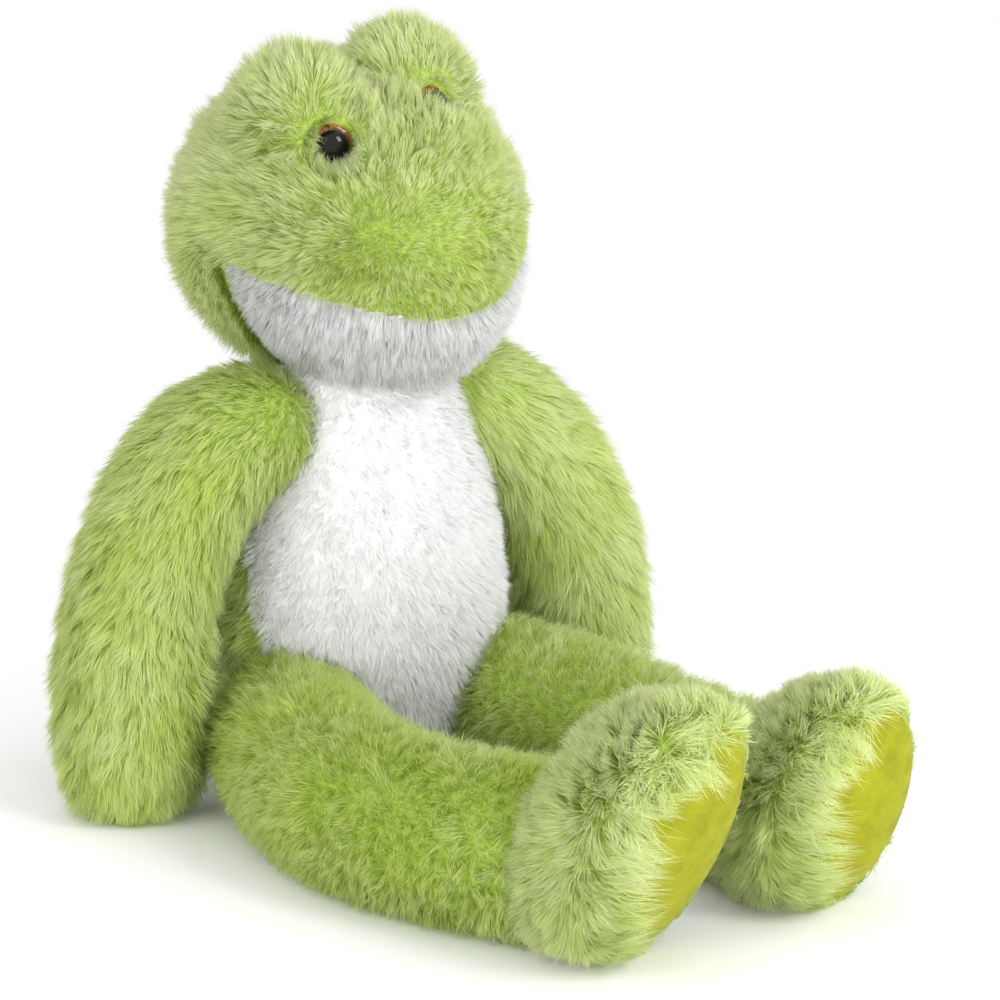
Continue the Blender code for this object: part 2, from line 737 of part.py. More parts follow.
def make_eye(side, sign, skin, stuffing):
    """A black button on a shank through an amber disc and the skin, held by a washer inside."""
    frame = eye_frame(sign)
    bore = SHANK_RADIUS + GAP
    washer_top = -EYE_FABRIC - GAP
    washer_bottom = washer_top - WASHER_THICKNESS
    pupil_base = IRIS_THICKNESS + 2 * GAP
    angles = np.linspace(0, pi / 2, DOME_STEPS + 1)
    dome = [(PUPIL_RADIUS * sin(turn), pupil_base + PUPIL_RISE * cos(turn)) for turn in angles]
    button = [*dome, (SHANK_RADIUS, pupil_base), (SHANK_RADIUS, -SHANK_LENGTH), (0, -SHANK_LENGTH)]
    pupil = turned("eye_button_" + side, button, frame)
    disc = [
        (bore, GAP + IRIS_THICKNESS),
        (PUPIL_RADIUS, GAP + IRIS_THICKNESS),
        (IRIS_RADIUS, GAP + IRIS_THICKNESS / 2),
        (IRIS_RADIUS, GAP),
        (bore, GAP),
    ]
    iris = turned("eye_iris_" + side, disc, frame, closed=True)
    rim = [
        (bore, washer_top),
        (WASHER_RADIUS, washer_top),
        (WASHER_RADIUS, washer_bottom),
        (bore, washer_bottom),
    ]
    washer = turned("eye_washer_" + side, rim, frame, closed=True)
    bore_cut = cylinder("shank_bore_" + side, frame, bore, -SHANK_LENGTH - GAP, OVERRUN)
    seat_cut = cylinder("eye_seat_" + side, frame, IRIS_RADIUS + 2 * GAP, 0, 2 * OVERRUN)
    washer_cut = cylinder("washer_seat_" + side, frame, WASHER_RADIUS + GAP,
                          washer_bottom - HEAD_SKIN, -EYE_FABRIC)
    washer_room = cylinder("washer_room_" + side, frame, WASHER_RADIUS + GAP,
                           washer_bottom - GAP, OVERRUN)
    for cutter in (bore_cut, seat_cut, washer_cut):
        boolean(skin, cutter)
    for cutter in (bore_cut, washer_room):
        boolean(stuffing, cutter)
    finish(pupil, "black_gloss", BLACK, 0.08)
    finish(iris, "amber_gloss", AMBER, 0.15)
    finish(washer, "white_plastic", WASHER_WHITE, 0.5)


TORSO_OUTSIDE = torso_form("torso_outside", -GAP)
make_torso()
make_head()
for limb_side in SIDES:
    make_arm(limb_side)
    make_leg(limb_side)
    make_foot(limb_side)


def pivot(name, place, nodes):
    """An empty on a joint's axis that carries the joint's pieces."""
    empty = bpy.data.objects.new(name, None)
    FROG.objects.link(empty)
    empty.location = place
    for node in nodes:
        piece = bpy.data.objects[node]
        piece.parent = empty
        piece.matrix_parent_inverse = Matrix.Translation(-Vector(place))


pivot("neck_pivot", (0, UPRIGHT.translation.y, TORSO_HEIGHT), [
    "head_skin", "chin_panel", "head_stuffing",
    *(f"eye_{kind}_{side}" for kind in ("button", "iris", "washer") for side in SIDES),
])
for limb_side in SIDES:
    arm = [f"arm_{kind}_{limb_side}" for kind in ("skin", "stuffing")]
    leg = [f"leg_{kind}_{limb_side}" for kind in ("skin", "stuffing")]
    foot = [f"foot_skin_{limb_side}", f"foot_stuffing_{limb_side}", f"sole_{limb_side}"]
    pivot(f"shoulder_pivot_{limb_side}", shoulder(limb_side), arm)
    pivot(f"hip_pivot_{limb_side}", hip(limb_side), leg + foot)
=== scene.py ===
# %% [markdown]
# # A seated plush frog
# The real toy is cut from long-pile fur fabric, sewn inside out, turned and stuffed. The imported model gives
# its size, its sewn parts and its joints. This lesson dresses that model: every skin becomes a smooth
# surface, and every skin then grows its pile, strand by strand, as thin tapering blades.

import math

import bpy
import numpy as np
from mathutils import Matrix, Vector


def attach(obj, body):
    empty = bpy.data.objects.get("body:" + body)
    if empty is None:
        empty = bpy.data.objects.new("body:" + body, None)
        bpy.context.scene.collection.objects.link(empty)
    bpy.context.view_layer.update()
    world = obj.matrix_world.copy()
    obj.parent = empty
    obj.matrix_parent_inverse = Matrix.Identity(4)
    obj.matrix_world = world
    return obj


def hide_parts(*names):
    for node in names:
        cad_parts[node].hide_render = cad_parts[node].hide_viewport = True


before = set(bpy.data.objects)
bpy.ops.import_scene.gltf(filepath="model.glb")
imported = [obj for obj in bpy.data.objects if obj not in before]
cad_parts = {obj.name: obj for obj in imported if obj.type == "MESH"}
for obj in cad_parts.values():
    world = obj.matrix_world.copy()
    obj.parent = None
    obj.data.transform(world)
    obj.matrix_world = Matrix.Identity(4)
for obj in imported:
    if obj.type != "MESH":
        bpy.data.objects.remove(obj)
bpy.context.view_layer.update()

# %% [markdown]
# ## The camera
# The toy was photographed from a little above, from its right front, with a long lens. A long lens far away
# keeps the near foot from looking too large, so the camera stands 1.1 m off with a 120 mm lens.

# %% Camera
CAMERA_AZIMUTH = math.radians(-35.5)
CAMERA_ELEVATION = math.radians(13.0)
CAMERA_DISTANCE = 1.1
AIM = Vector((0.0, -0.0755, 0.1125))

back = Vector((
    math.sin(CAMERA_AZIMUTH) * math.cos(CAMERA_ELEVATION),
    -math.cos(CAMERA_AZIMUTH) * math.cos(CAMERA_ELEVATION),
    math.sin(CAMERA_ELEVATION),
))
camera = bpy.data.objects.new("camera", bpy.data.cameras.new("camera"))
bpy.context.scene.collection.objects.link(camera)
camera.data.sensor_width = 36.0
camera.data.lens = 119.88
camera.data.clip_start = 0.05
camera.location = AIM + back * CAMERA_DISTANCE
camera.rotation_euler = back.to_track_quat("Z", "Y").to_euler()
bpy.context.scene.camera = camera
print("camera at", [round(x, 3) for x in camera.location])

# %% [markdown]
# ## Colours and nodes
# Colours are noted as sRGB hex values, as a colour picker shows them. Blender's shaders work in linear
# light, so one function turns them. A second small function adds a shader node with its settings and links.


# %% Colour and node helpers
def linear(hex_colour):
    """Linear RGBA of an sRGB hex value: each share over 0.04045 is ((s + 0.055) / 1.055) to the power 2.4."""
    shares = [int(hex_colour[i : i + 2], 16) / 255 for i in (1, 3, 5)]
    return [s / 12.92 if s <= 0.04045 else ((s + 0.055) / 1.055) ** 2.4 for s in shares] + [1.0]


def node(tree, kind, inputs=None, **settings):
    """Adds a node; each input, by name or number, is given a value, or a link from another node's socket."""
    made = tree.nodes.new(kind)
    for name, value in settings.items():
        setattr(made, name, value)
    for name, value in (inputs or {}).items():
        if isinstance(value, bpy.types.NodeSocket):
            tree.links.new(value, made.inputs[name])
        else:
            made.inputs[name].default_value = value
    return made


def empty_material(name):
    """A material with nothing but its output node."""
    made = bpy.data.materials.new(name)
    made.use_nodes = True
    made.node_tree.nodes.clear()
    return made, made.node_tree, made.node_tree.nodes.new("ShaderNodeOutputMaterial")


def ramp(tree, factor, stops):
    """A colour ramp through (place, hex colour) stops."""
    made = node(tree, "ShaderNodeValToRGB", {"Fac": factor})
    points = made.color_ramp.elements
    while len(points) < len(stops):
        points.new(0.5)
    for point, (place, colour) in zip(points, stops):
        point.position = place
        point.color = linear(colour)
    return made.outputs["Color"]


print("white in linear light:", linear("#ffffff")[:3])

# %% [markdown]
# ## The studio
# An even white sky carries most of the light. A soft lamp high in front shapes the frog, a wide low one and
# a small card reach what faces forward and down, and one lamp by each side lifts the edges. The polished
# eyes would show every lamp, so three of the five are hidden from reflections. The floor is a white paper
# sweep, which takes the frog's shadow near it and is plain white further off.

# %% World and floor
SHADOW_MIDDLE = (0.02, -0.12, 0.0)
SHADOW_REACH = {1: 0.19, 2: 0.35}  # metres from the middle where the sweep starts to brighten, and is white

world = bpy.data.worlds.new("studio")
world.use_nodes = True
bpy.context.scene.world = world
world.node_tree.nodes.clear()
sky = node(world.node_tree, "ShaderNodeBackground", {"Color": linear("#ffffff"), "Strength": 1.0})
node(world.node_tree, "ShaderNodeOutputWorld", {"Surface": sky.outputs[0]})

paper, tree, output = empty_material("white_paper_sweep")
matte = node(tree, "ShaderNodeBsdfDiffuse", {"Color": linear("#ececec")})
bright = node(tree, "ShaderNodeEmission", {"Color": linear("#ffffff"), "Strength": 1.0})
place = node(tree, "ShaderNodeTexCoord").outputs["Object"]
distance = node(tree, "ShaderNodeVectorMath", {0: place, 1: SHADOW_MIDDLE}, operation="DISTANCE")
reach = {0: distance.outputs["Value"], **SHADOW_REACH}
far = node(tree, "ShaderNodeMapRange", reach, interpolation_type="SMOOTHSTEP")
sweep = node(tree, "ShaderNodeMixShader", {0: far.outputs[0], 1: matte.outputs[0], 2: bright.outputs[0]})
tree.links.new(sweep.outputs[0], output.inputs["Surface"])
floor_mesh = bpy.data.meshes.new("floor")
floor_mesh.from_pydata([(-9, -9, 0), (9, -9, 0), (9, 9, 0), (-9, 9, 0)], [], [(0, 1, 2, 3)])
floor = bpy.data.objects.new("floor", floor_mesh)
bpy.context.scene.collection.objects.link(floor)
floor.data.materials.append(paper)
print("the sweep is plain white from", SHADOW_REACH[2], "m on")

# %% Lamps
FROG_MIDDLE = Vector((0, -0.06, 0.12))
LAMPS = (  # azimuth and elevation in degrees, distance, width, height, watts, and whether gloss shows it
    ("key_softbox", 14, 36, 2.4, 0.8, 1.1, 21, True),
    ("front_softbox", -26, 6, 2.4, 1.8, 0.55, 31, False),
    ("low_card", 0, -4, 0.8, 0.5, 0.12, 1.5, False),
    ("side_softbox", 62, 30, 2.4, 1.6, 1.6, 13, False),
    ("fill_softbox", -80, 30, 2.6, 1.8, 1.8, 17, True),
)


def lamp(name, azimuth, elevation, distance, width, height, power, in_gloss):
    """A soft lamp that faces the frog from this direction, measured as the camera's is."""
    a, e = math.radians(azimuth), math.radians(elevation)
    away = Vector((math.sin(a) * math.cos(e), -math.cos(a) * math.cos(e), math.sin(e)))
    light = bpy.data.lights.new(name, "AREA")
    light.shape = "RECTANGLE"
    light.size = width
    light.size_y = height
    light.energy = power
    thing = bpy.data.objects.new(name, light)
    thing.location = FROG_MIDDLE + away * distance
    thing.rotation_euler = away.to_track_quat("Z", "Y").to_euler()
    thing.visible_glossy = in_gloss
    bpy.context.scene.collection.objects.link(thing)


for row in LAMPS:
    lamp(*row)
bpy.context.scene.view_settings.view_transform = "Standard"

# %% [markdown]
# ## Finishes
# The pile is acrylic faux fur. Each strand is a fine plastic fibre that lets part of the light through. Its
# colour is darker at the root, as painted shade deep in the pile, and clearer towards its tip. Its colour
# comes from two shares kept in its UV map: how pale the strand is, and how far along it a point lies.


# %% Acrylic pile
def pile_material(name, deep, pale, through):
    """Acrylic pile: one colour ramp along a deep strand and one along a pale one, mixed by the map.

    The map's first coordinate is how pale the strand is, and its second how far along it the point lies.
    """
    made, tree, output = empty_material(name)
    place = node(tree, "ShaderNodeUVMap", uv_map="OFBake")
    share = node(tree, "ShaderNodeSeparateXYZ", {0: place.outputs["UV"]})
    dark = ramp(tree, share.outputs["Y"], deep)
    light = ramp(tree, share.outputs["Y"], pale)
    shades = {0: share.outputs["X"], 6: dark, 7: light}
    colour = node(tree, "ShaderNodeMix", shades, data_type="RGBA").outputs[2]
    fibre = node(tree, "ShaderNodeBsdfPrincipled", {"Base Color": colour, "Roughness": 0.62})
    fibre.inputs["Specular IOR Level"].default_value = 0.22
    glow = node(tree, "ShaderNodeBsdfTranslucent", {"Color": colour})
    mixed = node(tree, "ShaderNodeMixShader", {0: through, 1: fibre.outputs[0], 2: glow.outputs[0]})
    tree.links.new(mixed.outputs[0], output.inputs["Surface"])
    return made


# Both ramps of each pile run darker at the root end: painted shade deep in the pile.
green_pile = pile_material(
    "lime_acrylic_pile",
    ((0.0, "#b9d04f"), (0.35, "#c6da5b"), (0.7, "#d3e471"), (1.0, "#dfec94")),
    ((0.0, "#cfdf8c"), (0.35, "#e0e9ab"), (0.7, "#ecf2ca"), (1.0, "#f6f8e2")),
    0.6,
)
white_pile = pile_material(
    "white_acrylic_pile",
    ((0.0, "#f6f6f6"), (0.4, "#f8f8f8"), (1.0, "#fafafa")),
    ((0.0, "#f9f9f9"), (0.4, "#fbfbfb"), (1.0, "#fdfdfd")),
    0.65,
)


def backing_material(name, dark, light):
    """Knitted backing with the pile's roots: mottled in 1.5 mm tufts, with a bump of the same size."""
    made, tree, output = empty_material(name)
    place = node(tree, "ShaderNodeTexCoord").outputs["Object"]
    tufts = node(tree, "ShaderNodeTexNoise", {"Vector": place, "Scale": 650.0, "Detail": 3.0})
    colour = ramp(tree, tufts.outputs["Fac"], ((0.35, dark), (0.65, light)))
    bump = node(tree, "ShaderNodeBump", {"Height": tufts.outputs["Fac"], "Strength": 0.5, "Distance": 0.0006})
    cloth = node(tree, "ShaderNodeBsdfPrincipled", {"Base Color": colour, "Normal": bump.outputs[0]})
    cloth.inputs["Roughness"].default_value = 0.95
    cloth.inputs["Specular IOR Level"].default_value = 0.1
    tree.links.new(cloth.outputs[0], output.inputs["Surface"])
    return made


# The green backing is darker than the pile: painted shade deep in the pile, between its roots.
green_backing_painted_shade = backing_material("green_knit_backing_painted_shade", "#9cb34d", "#b0c65f")
white_backing = backing_material("white_knit_backing", "#f3f3f1", "#fafaf9")
print("pile finishes:", green_pile.name, "and", white_pile.name)

# %% [markdown]
# ## Smooth skins
# A sewn and stuffed part is round in section and changes slowly along its length. Each is given as a few
# rings, and a uniform cubic B-spline through them gives a surface as smooth as stuffed cloth. The rings
# are those of the model's own solids. Sculpting could give the same skins, but a formula also tells where
# each strand of the pile stands and which way is up there.


# %% Surface helpers
def unit(vectors):
    """Each vector over its length."""
    vectors = np.asarray(vectors, float)
    return vectors / np.maximum(np.linalg.norm(vectors, axis=-1, keepdims=True), 1e-12)


def spline(rows, places):
    """Uniform cubic B-spline: each point is a weighted mean of four rows next to it.

    A row is added at each end, twice the end row less its neighbour, so the curve begins and ends on a row.
    """
    rows = np.asarray(rows, float)
    rows = np.vstack([2 * rows[0] - rows[1], rows, 2 * rows[-1] - rows[-2]])
    first = np.minimum(places.astype(int), len(rows) - 4)
    f = (places - first)[:, None]
    weights = ((1 - f) ** 3, 3 * f**3 - 6 * f**2 + 4, -3 * f**3 + 3 * f**2 + 3 * f + 1, f**3)
    return sum(w * rows[first + i] for i, w in enumerate(weights)) / 6


def ring_grid(rings, along, around):
    """Points C + cos(angle) A + sin(angle) B: centre C and half axes A and B follow the rings' spline."""
    places = along if isinstance(along, np.ndarray) else np.linspace(0, len(rings) - 1, along)
    rows = spline(rings, places)
    angle = np.linspace(0, 2 * np.pi, around, endpoint=False)[None, :, None]
    centre, a, b = rows[:, None, :3], rows[:, None, 3:6], rows[:, None, 6:]
    return centre + np.cos(angle) * a + np.sin(angle) * b


def grid_normals(grid):
    """Cross product of the steps around and along the grid, over its length and turned outward."""
    around = np.roll(grid, -1, axis=1) - np.roll(grid, 1, axis=1)
    along = np.gradient(grid, axis=0)
    normals = np.cross(around, along)
    for end, next_row in ((0, 1), (-1, -2)):
        normals[end] = normals[next_row].mean(axis=0)
    normals = unit(normals)
    outward = (normals * (grid - grid.mean(axis=(0, 1)))).sum()
    return normals if outward > 0 else -normals


END_TURN = math.radians(42)  # where round a limb's rounded end its one ring lies


def limb_rings(points, radii, reference):
    """Rings square to a spine, with a rounded end past each of its ends: a shrunk ring and a pole."""
    points = np.asarray(points, float)
    steps = unit(np.diff(points, axis=0))
    tangents = unit(np.vstack([steps[:1], steps]) + np.vstack([steps, steps[-1:]]))
    side = unit(np.cross(tangents, reference))
    up = np.cross(side, tangents)
    sizes = np.asarray(radii)[:, None]
    middle = np.hstack([points, side * sizes, up * sizes])
    ends = []
    for i, sign in ((0, -1), (-1, 1)):
        reach = sign * tangents[i] * radii[i]
        shrunk = radii[i] * math.cos(END_TURN)
        ring = np.hstack([points[i] + reach * math.sin(END_TURN), side[i] * shrunk, up[i] * shrunk])
        ends.append([ring, np.hstack([points[i] + reach, np.zeros(6)])])
    return np.vstack([ends[0][1], ends[0][0], middle, ends[1][0], ends[1][1]])


print("a spline through 3 rows begins at", spline([[0.0], [1.0], [4.0]], np.array([0.0]))[0])

# %% [markdown]
# ## The torso
# The torso is a pear: widest at the belly, drawn in to the neck and flat where it sits. The arms and legs
# are stuffed tubes whose round ends press into it, so the torso's skin is pushed in where they are.

# %% Torso surface
TORSO_HEIGHT = 0.1492
TORSO_HALF_WIDTH = 0.050
TORSO_HALF_DEPTH = 0.046
TORSO_BACK_SHIFT = 0.013
TORSO_RINGS = (  # height, half width, half depth and back shift, as shares
    (-0.018, 0.0, 0.0, 1.25),
    (-0.018, 0.58, 0.52, 1.25),
    (0.07, 0.84, 0.82, 1.15),
    (0.22, 0.99, 0.98, 1.05),
    (0.42, 1.02, 1.02, 1.0),
    (0.61, 0.96, 0.96, 1.0),
    (0.78, 0.83, 0.80, 0.95),
    (0.92, 0.67, 0.63, 0.85),
    (1.04, 0.52, 0.52, 0.80),
    (1.12, 0.45, 0.46, 0.80),
    (1.16, 0.0, 0.0, 0.80),
)
SHOULDERS = {"left": np.array((0.046, 0.006, 0.129)), "right": np.array((-0.046, 0.006, 0.129))}
HIPS = {"left": np.array((0.042, -0.007, 0.0255)), "right": np.array((-0.042, -0.007, 0.0255))}
SHOULDER_BALL = 0.0215
HIP_BALL = 0.0260
GAP = 0.0004

heights, widths, depths, shifts = np.array(TORSO_RINGS).T * np.array(
    (TORSO_HEIGHT, TORSO_HALF_WIDTH, TORSO_HALF_DEPTH, TORSO_BACK_SHIFT)
)[:, None]
nil = np.zeros(len(TORSO_RINGS))
torso_rings = np.stack([nil, shifts, heights, widths, nil, nil, nil, depths, nil], -1)
torso_profile = spline(torso_rings, np.linspace(1.3, 9.6, 240))  # short of the poles, so heights only grow


def torso_share(points):
    """How far out a point lies: 1 on the torso's ellipse at the point's height, less inside it."""
    middle, half_width, half_depth = (
        np.interp(points[..., 2], torso_profile[:, 2], torso_profile[:, i]) for i in (1, 3, 7)
    )
    return np.hypot(points[..., 0] / half_width, (points[..., 1] - middle) / half_depth)


def press_limbs_in(points):
    """Moves skin out of the shoulder balls, straight inward, and off the thighs, straight up."""
    points = points.copy()
    x, y, z = points[..., 0], points[..., 1], points[..., 2]
    for centre in SHOULDERS.values():
        room = (SHOULDER_BALL + GAP) ** 2 - (y - centre[1]) ** 2 - (z - centre[2]) ** 2
        wall = abs(centre[0]) - np.sqrt(np.maximum(room, 0))
        sign = np.sign(centre[0])
        inside = (room > 0) & (x * sign > wall)
        x[inside] = (sign * wall)[inside]
    for centre in HIPS.values():
        behind = np.maximum(y - centre[1], 0)
        room = (HIP_BALL + GAP) ** 2 - (x - centre[0]) ** 2 - behind**2
        top = centre[2] + np.sqrt(np.maximum(room, 0))
        under = (room > 0) & (z < top)
        z[under] = top[under]
    return points


torso_grid = ring_grid(torso_rings, 220, 320)
torso_grid[..., 2] = np.clip(torso_grid[..., 2], 0.0, TORSO_HEIGHT)
torso_skin_grid = press_limbs_in(torso_grid)
print("torso grid:", torso_grid.shape[:2], "its height:", round(1000 * float(np.ptp(torso_grid[..., 2])), 1))

# %% [markdown]
# ## The head
# The head is a ball drawn forward into a broad snout and down into a soft jaw, with two eye mounds on top.
# Seen from its middle, the outermost of ball and mounds is the skin, and a soft maximum rounds the valley
# between them. The whole head leans 9 degrees to the frog's right.

# %% The head's frame and sizes
HEAD_LEAN = math.radians(-9)
HEAD_PLACE = (0, 0.019, TORSO_HEIGHT + 0.0478)
HEAD_FRAME = np.array(Matrix.Translation(HEAD_PLACE) @ Matrix.Rotation(HEAD_LEAN, 4, "Y"))
HEAD_HALF = np.array((0.054, 0.053, 0.050))
SNOUT_REACH = 0.024
SNOUT_POWER = 2.2
JAW_DROP = 0.012
MOUND_HALF = np.array((0.020, 0.019, 0.022))
MOUND_MIDDLE = np.array((0.021, -0.017, 0.038))
VALLEY = 0.004  # how widely the valley round a mound is rounded
NECK_GAP = 0.0003


def to_world(points):
    """Points in the head's own frame, turned and moved to the shared frame."""
    return points @ HEAD_FRAME[:3, :3].T + HEAD_FRAME[:3, 3]


def to_head(points):
    """Points in the shared frame, moved and turned back into the head's own frame."""
    return (points - HEAD_FRAME[:3, 3]) @ HEAD_FRAME[:3, :3]


print("head's middle in mm:", [round(1000 * x, 1) for x in HEAD_PLACE])


# %% Head surface
def head_grid_points(along, around):
    """A sphere's points times the half sizes, less the snout's and the jaw's reach, with the soft maximum."""
    polar = np.linspace(0, np.pi, along)[:, None]
    azimuth = np.linspace(0, 2 * np.pi, around, endpoint=False)[None, :]
    x, y, z = np.sin(polar) * np.cos(azimuth), np.sin(polar) * np.sin(azimuth), np.cos(polar)
    sphere = np.stack(np.broadcast_arrays(x, y, z), -1)
    ahead = np.maximum(-sphere[..., 1], 0)
    points = sphere * HEAD_HALF
    points[..., 1] -= SNOUT_REACH * ahead**SNOUT_POWER
    points[..., 2] -= 2 * JAW_DROP * ahead * np.maximum(-sphere[..., 2], 0)
    reach = np.linalg.norm(points, axis=-1)
    ray = points / reach[..., None]
    for sign in (1, -1):
        middle = MOUND_MIDDLE * (sign, 1, 1)
        a = ((ray / MOUND_HALF) ** 2).sum(-1)
        b = (ray * middle / MOUND_HALF**2).sum(-1)
        room = b**2 - a * (((middle / MOUND_HALF) ** 2).sum() - 1)
        mound = np.where(room > 0, (b + np.sqrt(np.maximum(room, 0))) / a, 0)
        share = np.clip(0.5 + 0.5 * (mound - reach) / VALLEY, 0, 1)
        reach = reach + (mound - reach) * share + VALLEY * share * (1 - share)
    return ray * reach[..., None]


EYE_OUT = math.radians(25)
EYE_UP = math.radians(4)
EYE_SEAT = np.array((0.0206, -0.0335, 0.034))
EYE_SKEW = 0.002  # the left eye is this much higher on the head, and the right one lower
SOCKET_RADIUS = 0.0080
SOCKET_DEPTH = 0.0006
SOCKET_BLEND = 0.003
BY_EYE = 0.02  # skin further than this from an eye's seat, along its axis, is another part of the head
EYES = {}
for side, sign in (("left", 1), ("right", -1)):
    seat = EYE_SEAT * (sign, 1, 1) + (0, 0, sign * EYE_SKEW)
    ahead = math.cos(EYE_UP)
    axis = (sign * math.sin(EYE_OUT) * ahead, -math.cos(EYE_OUT) * ahead, math.sin(EYE_UP))
    EYES[side] = (to_world(seat), np.array(axis) @ HEAD_FRAME[:3, :3].T)


def eye_offsets(points, side):
    """Each point's height over the eye's seat, and its distance and direction from the eye's axis."""
    seat, axis = EYES[side]
    offset = points - seat
    height = offset @ axis
    radial = offset - height[..., None] * axis
    return height, np.linalg.norm(radial, axis=-1), unit(radial)


def press_eyes_in(points):
    """Sinks the skin to the socket's depth inside its radius, and blends it back outside that."""
    for side in EYES:
        height, distance, _ = eye_offsets(points, side)
        share = np.clip((distance - SOCKET_RADIUS) / SOCKET_BLEND, 0, 1)
        share = share * share * (3 - 2 * share)
        proud = (height > -SOCKET_DEPTH) & (np.abs(height) < BY_EYE)
        target = np.where(proud, -SOCKET_DEPTH + (height + SOCKET_DEPTH) * share, height)
        points = points + (target - height)[..., None] * EYES[side][1]
    return points


head_grid = press_eyes_in(to_world(head_grid_points(240, 360)))
head_grid[..., 2] = np.maximum(head_grid[..., 2], TORSO_HEIGHT + NECK_GAP)
print("head top at", round(1000 * float(head_grid[..., 2].max()), 1), "mm")

# %% [markdown]
# ## Arms, legs and feet
# Each limb is a tube along a bowed spine. A foot is a row of upright ovals behind its sole, which leans
# forward at the toe. The arms are pushed clear of the torso outside their round ends, and the ankles are
# drawn back out of the feet.

# %% Arm surfaces
ARM_SHARES = {  # outward share of the bow, drop share of the shoulder height, radius share
    "right": ((0, 0, 0.92), (0.34, 0.045, 0.98), (0.69, 0.20, 0.97), (0.92, 0.41, 0.98), (1, 0.62, 1),
              (0.99, 0.852, 1)),
    "left": ((0, 0, 0.92), (0.32, 0.10, 0.92), (0.66, 0.25, 0.95), (0.91, 0.44, 0.98), (1, 0.63, 1),
             (0.99, 0.852, 1)),
}
ARM_RADIUS = 0.0220
ARM_BOW = 0.0485
ARM_BACK = 0.02  # how far back an arm drifts, as a share of its drop


def arm_spine(side):
    """Shoulder plus the outward share of the bow, and less the drop share of the shoulder's height."""
    start = SHOULDERS[side]
    out, drop, radius = np.array(ARM_SHARES[side], float).T
    offsets = np.stack([np.sign(start[0]) * out * ARM_BOW, drop * ARM_BACK * start[2], -drop * start[2]], -1)
    return start + offsets, radius * ARM_RADIUS


def clear_of_torso(points, centre, ball):
    """Moves points that are in the torso and outside the limb's round end out to the torso's surface."""
    points = points.copy()
    share = torso_share(points)
    outside_ball = np.linalg.norm(points - centre, axis=-1) > ball
    buried = (share < 1) & outside_ball & (points[..., 2] < TORSO_HEIGHT)
    middle = np.interp(points[..., 2], torso_profile[:, 2], torso_profile[:, 1])
    scale = np.where(buried, 1 / np.maximum(share, 0.2), 1)
    points[..., 0] *= scale
    points[..., 1] = middle + (points[..., 1] - middle) * scale
    return points


arm_grids = {}
for side in SHOULDERS:
    arm_points, arm_radii = arm_spine(side)
    grid = ring_grid(limb_rings(arm_points, arm_radii, (0, 1, 0)), 220, 150)
    grid[..., 2] = np.maximum(grid[..., 2], 0)
    arm_grids[side] = grid
print("arm reach in mm:", round(1000 * float(np.abs(arm_grids["left"][..., 0]).max()), 1))

# %% Leg surfaces
LEG_SHARES = (  # length share, bow share, radius share
    (0, 0, 0.94), (0.18, 0.50, 1), (0.40, 0.98, 1), (0.60, 1, 0.98), (0.80, 0.60, 0.98), (0.94, 0.16, 1)
)
LEG_RADIUS = 0.0250
LEG_LENGTH = 0.176
LEG_BOW = {"right": 0.027, "left": 0.003}
LEG_SINK = 0.0005  # how far the tube reaches below the floor, where it is cut flat
HEEL_OUT = {"right": 0.041, "left": 0.037}


def leg_spine(side):
    """Hip less the length share of the leg, bowed outward, at the height of its own radius."""
    start = HIPS[side]
    along, bow, share = np.array(LEG_SHARES, float).T
    radii = share * LEG_RADIUS
    out = abs(start[0]) + (HEEL_OUT[side] - abs(start[0])) * along + LEG_BOW[side] * bow
    height = start[2] + (radii - LEG_SINK - start[2]) * np.minimum(1, along / LEG_SHARES[1][0])
    return np.stack([np.sign(start[0]) * out, start[1] - along * LEG_LENGTH, height], -1), radii


leg_grids = {}
for side in HIPS:
    leg_points, leg_radii = leg_spine(side)
    grid = ring_grid(limb_rings(leg_points, leg_radii, (0, 0, 1)), 240, 160)
    grid[..., 2] = np.maximum(grid[..., 2], 0)
    leg_grids[side] = grid
print("leg reach in mm:", [round(1000 * float(np.abs(leg_grids[side][..., 0]).max()), 1) for side in HIPS])

# %% Foot surfaces
FOOT_SHARES = (  # depth share, size share, sink share
    (0.04, 1.0, 0.0), (0.18, 1.05, 0.3), (0.42, 1.06, 1.0), (0.66, 0.95, 1.6), (0.87, 0.70, 2.6)
)
FOOT_HALF_WIDTH = 0.0265
FOOT_HALF_LENGTH = {"right": 0.045, "left": 0.037}
FOOT_DEPTH = 0.041
FOOT_SINK = 0.003
FOOT_TILT = {"right": math.radians(23), "left": math.radians(14)}
FOOT_TURN = {"right": math.radians(4), "left": math.radians(2)}
FOOT_FORWARD = {"right": 0.221, "left": 0.212}
FOOT_HEIGHT = {"right": 0.0430, "left": 0.0365}
SOLE_DOME = 0.004
SOLE_EDGE = 0.0018
MOST_BACK = 0.07
HALVINGS = 14  # of 70 mm, which leave less than 0.01 mm


def foot_frame(side):
    """The foot's own frame: Z out of the sole, X across it and Y up along it, from the sole's middle."""
    sign = 1 if side == "left" else -1
    place = Matrix.Translation((sign * HEEL_OUT[side], -FOOT_FORWARD[side], FOOT_HEIGHT[side]))
    turn = Matrix.Rotation(FOOT_TURN[side], 4, "Z") @ Matrix.Rotation(math.pi / 2 + FOOT_TILT[side], 4, "X")
    return np.array(place @ turn)


def to_foot(points, side):
    """Points in the shared frame, moved and turned back into the foot's own frame."""
    matrix = foot_frame(side)
    return (points - matrix[:3, 3]) @ matrix[:3, :3]


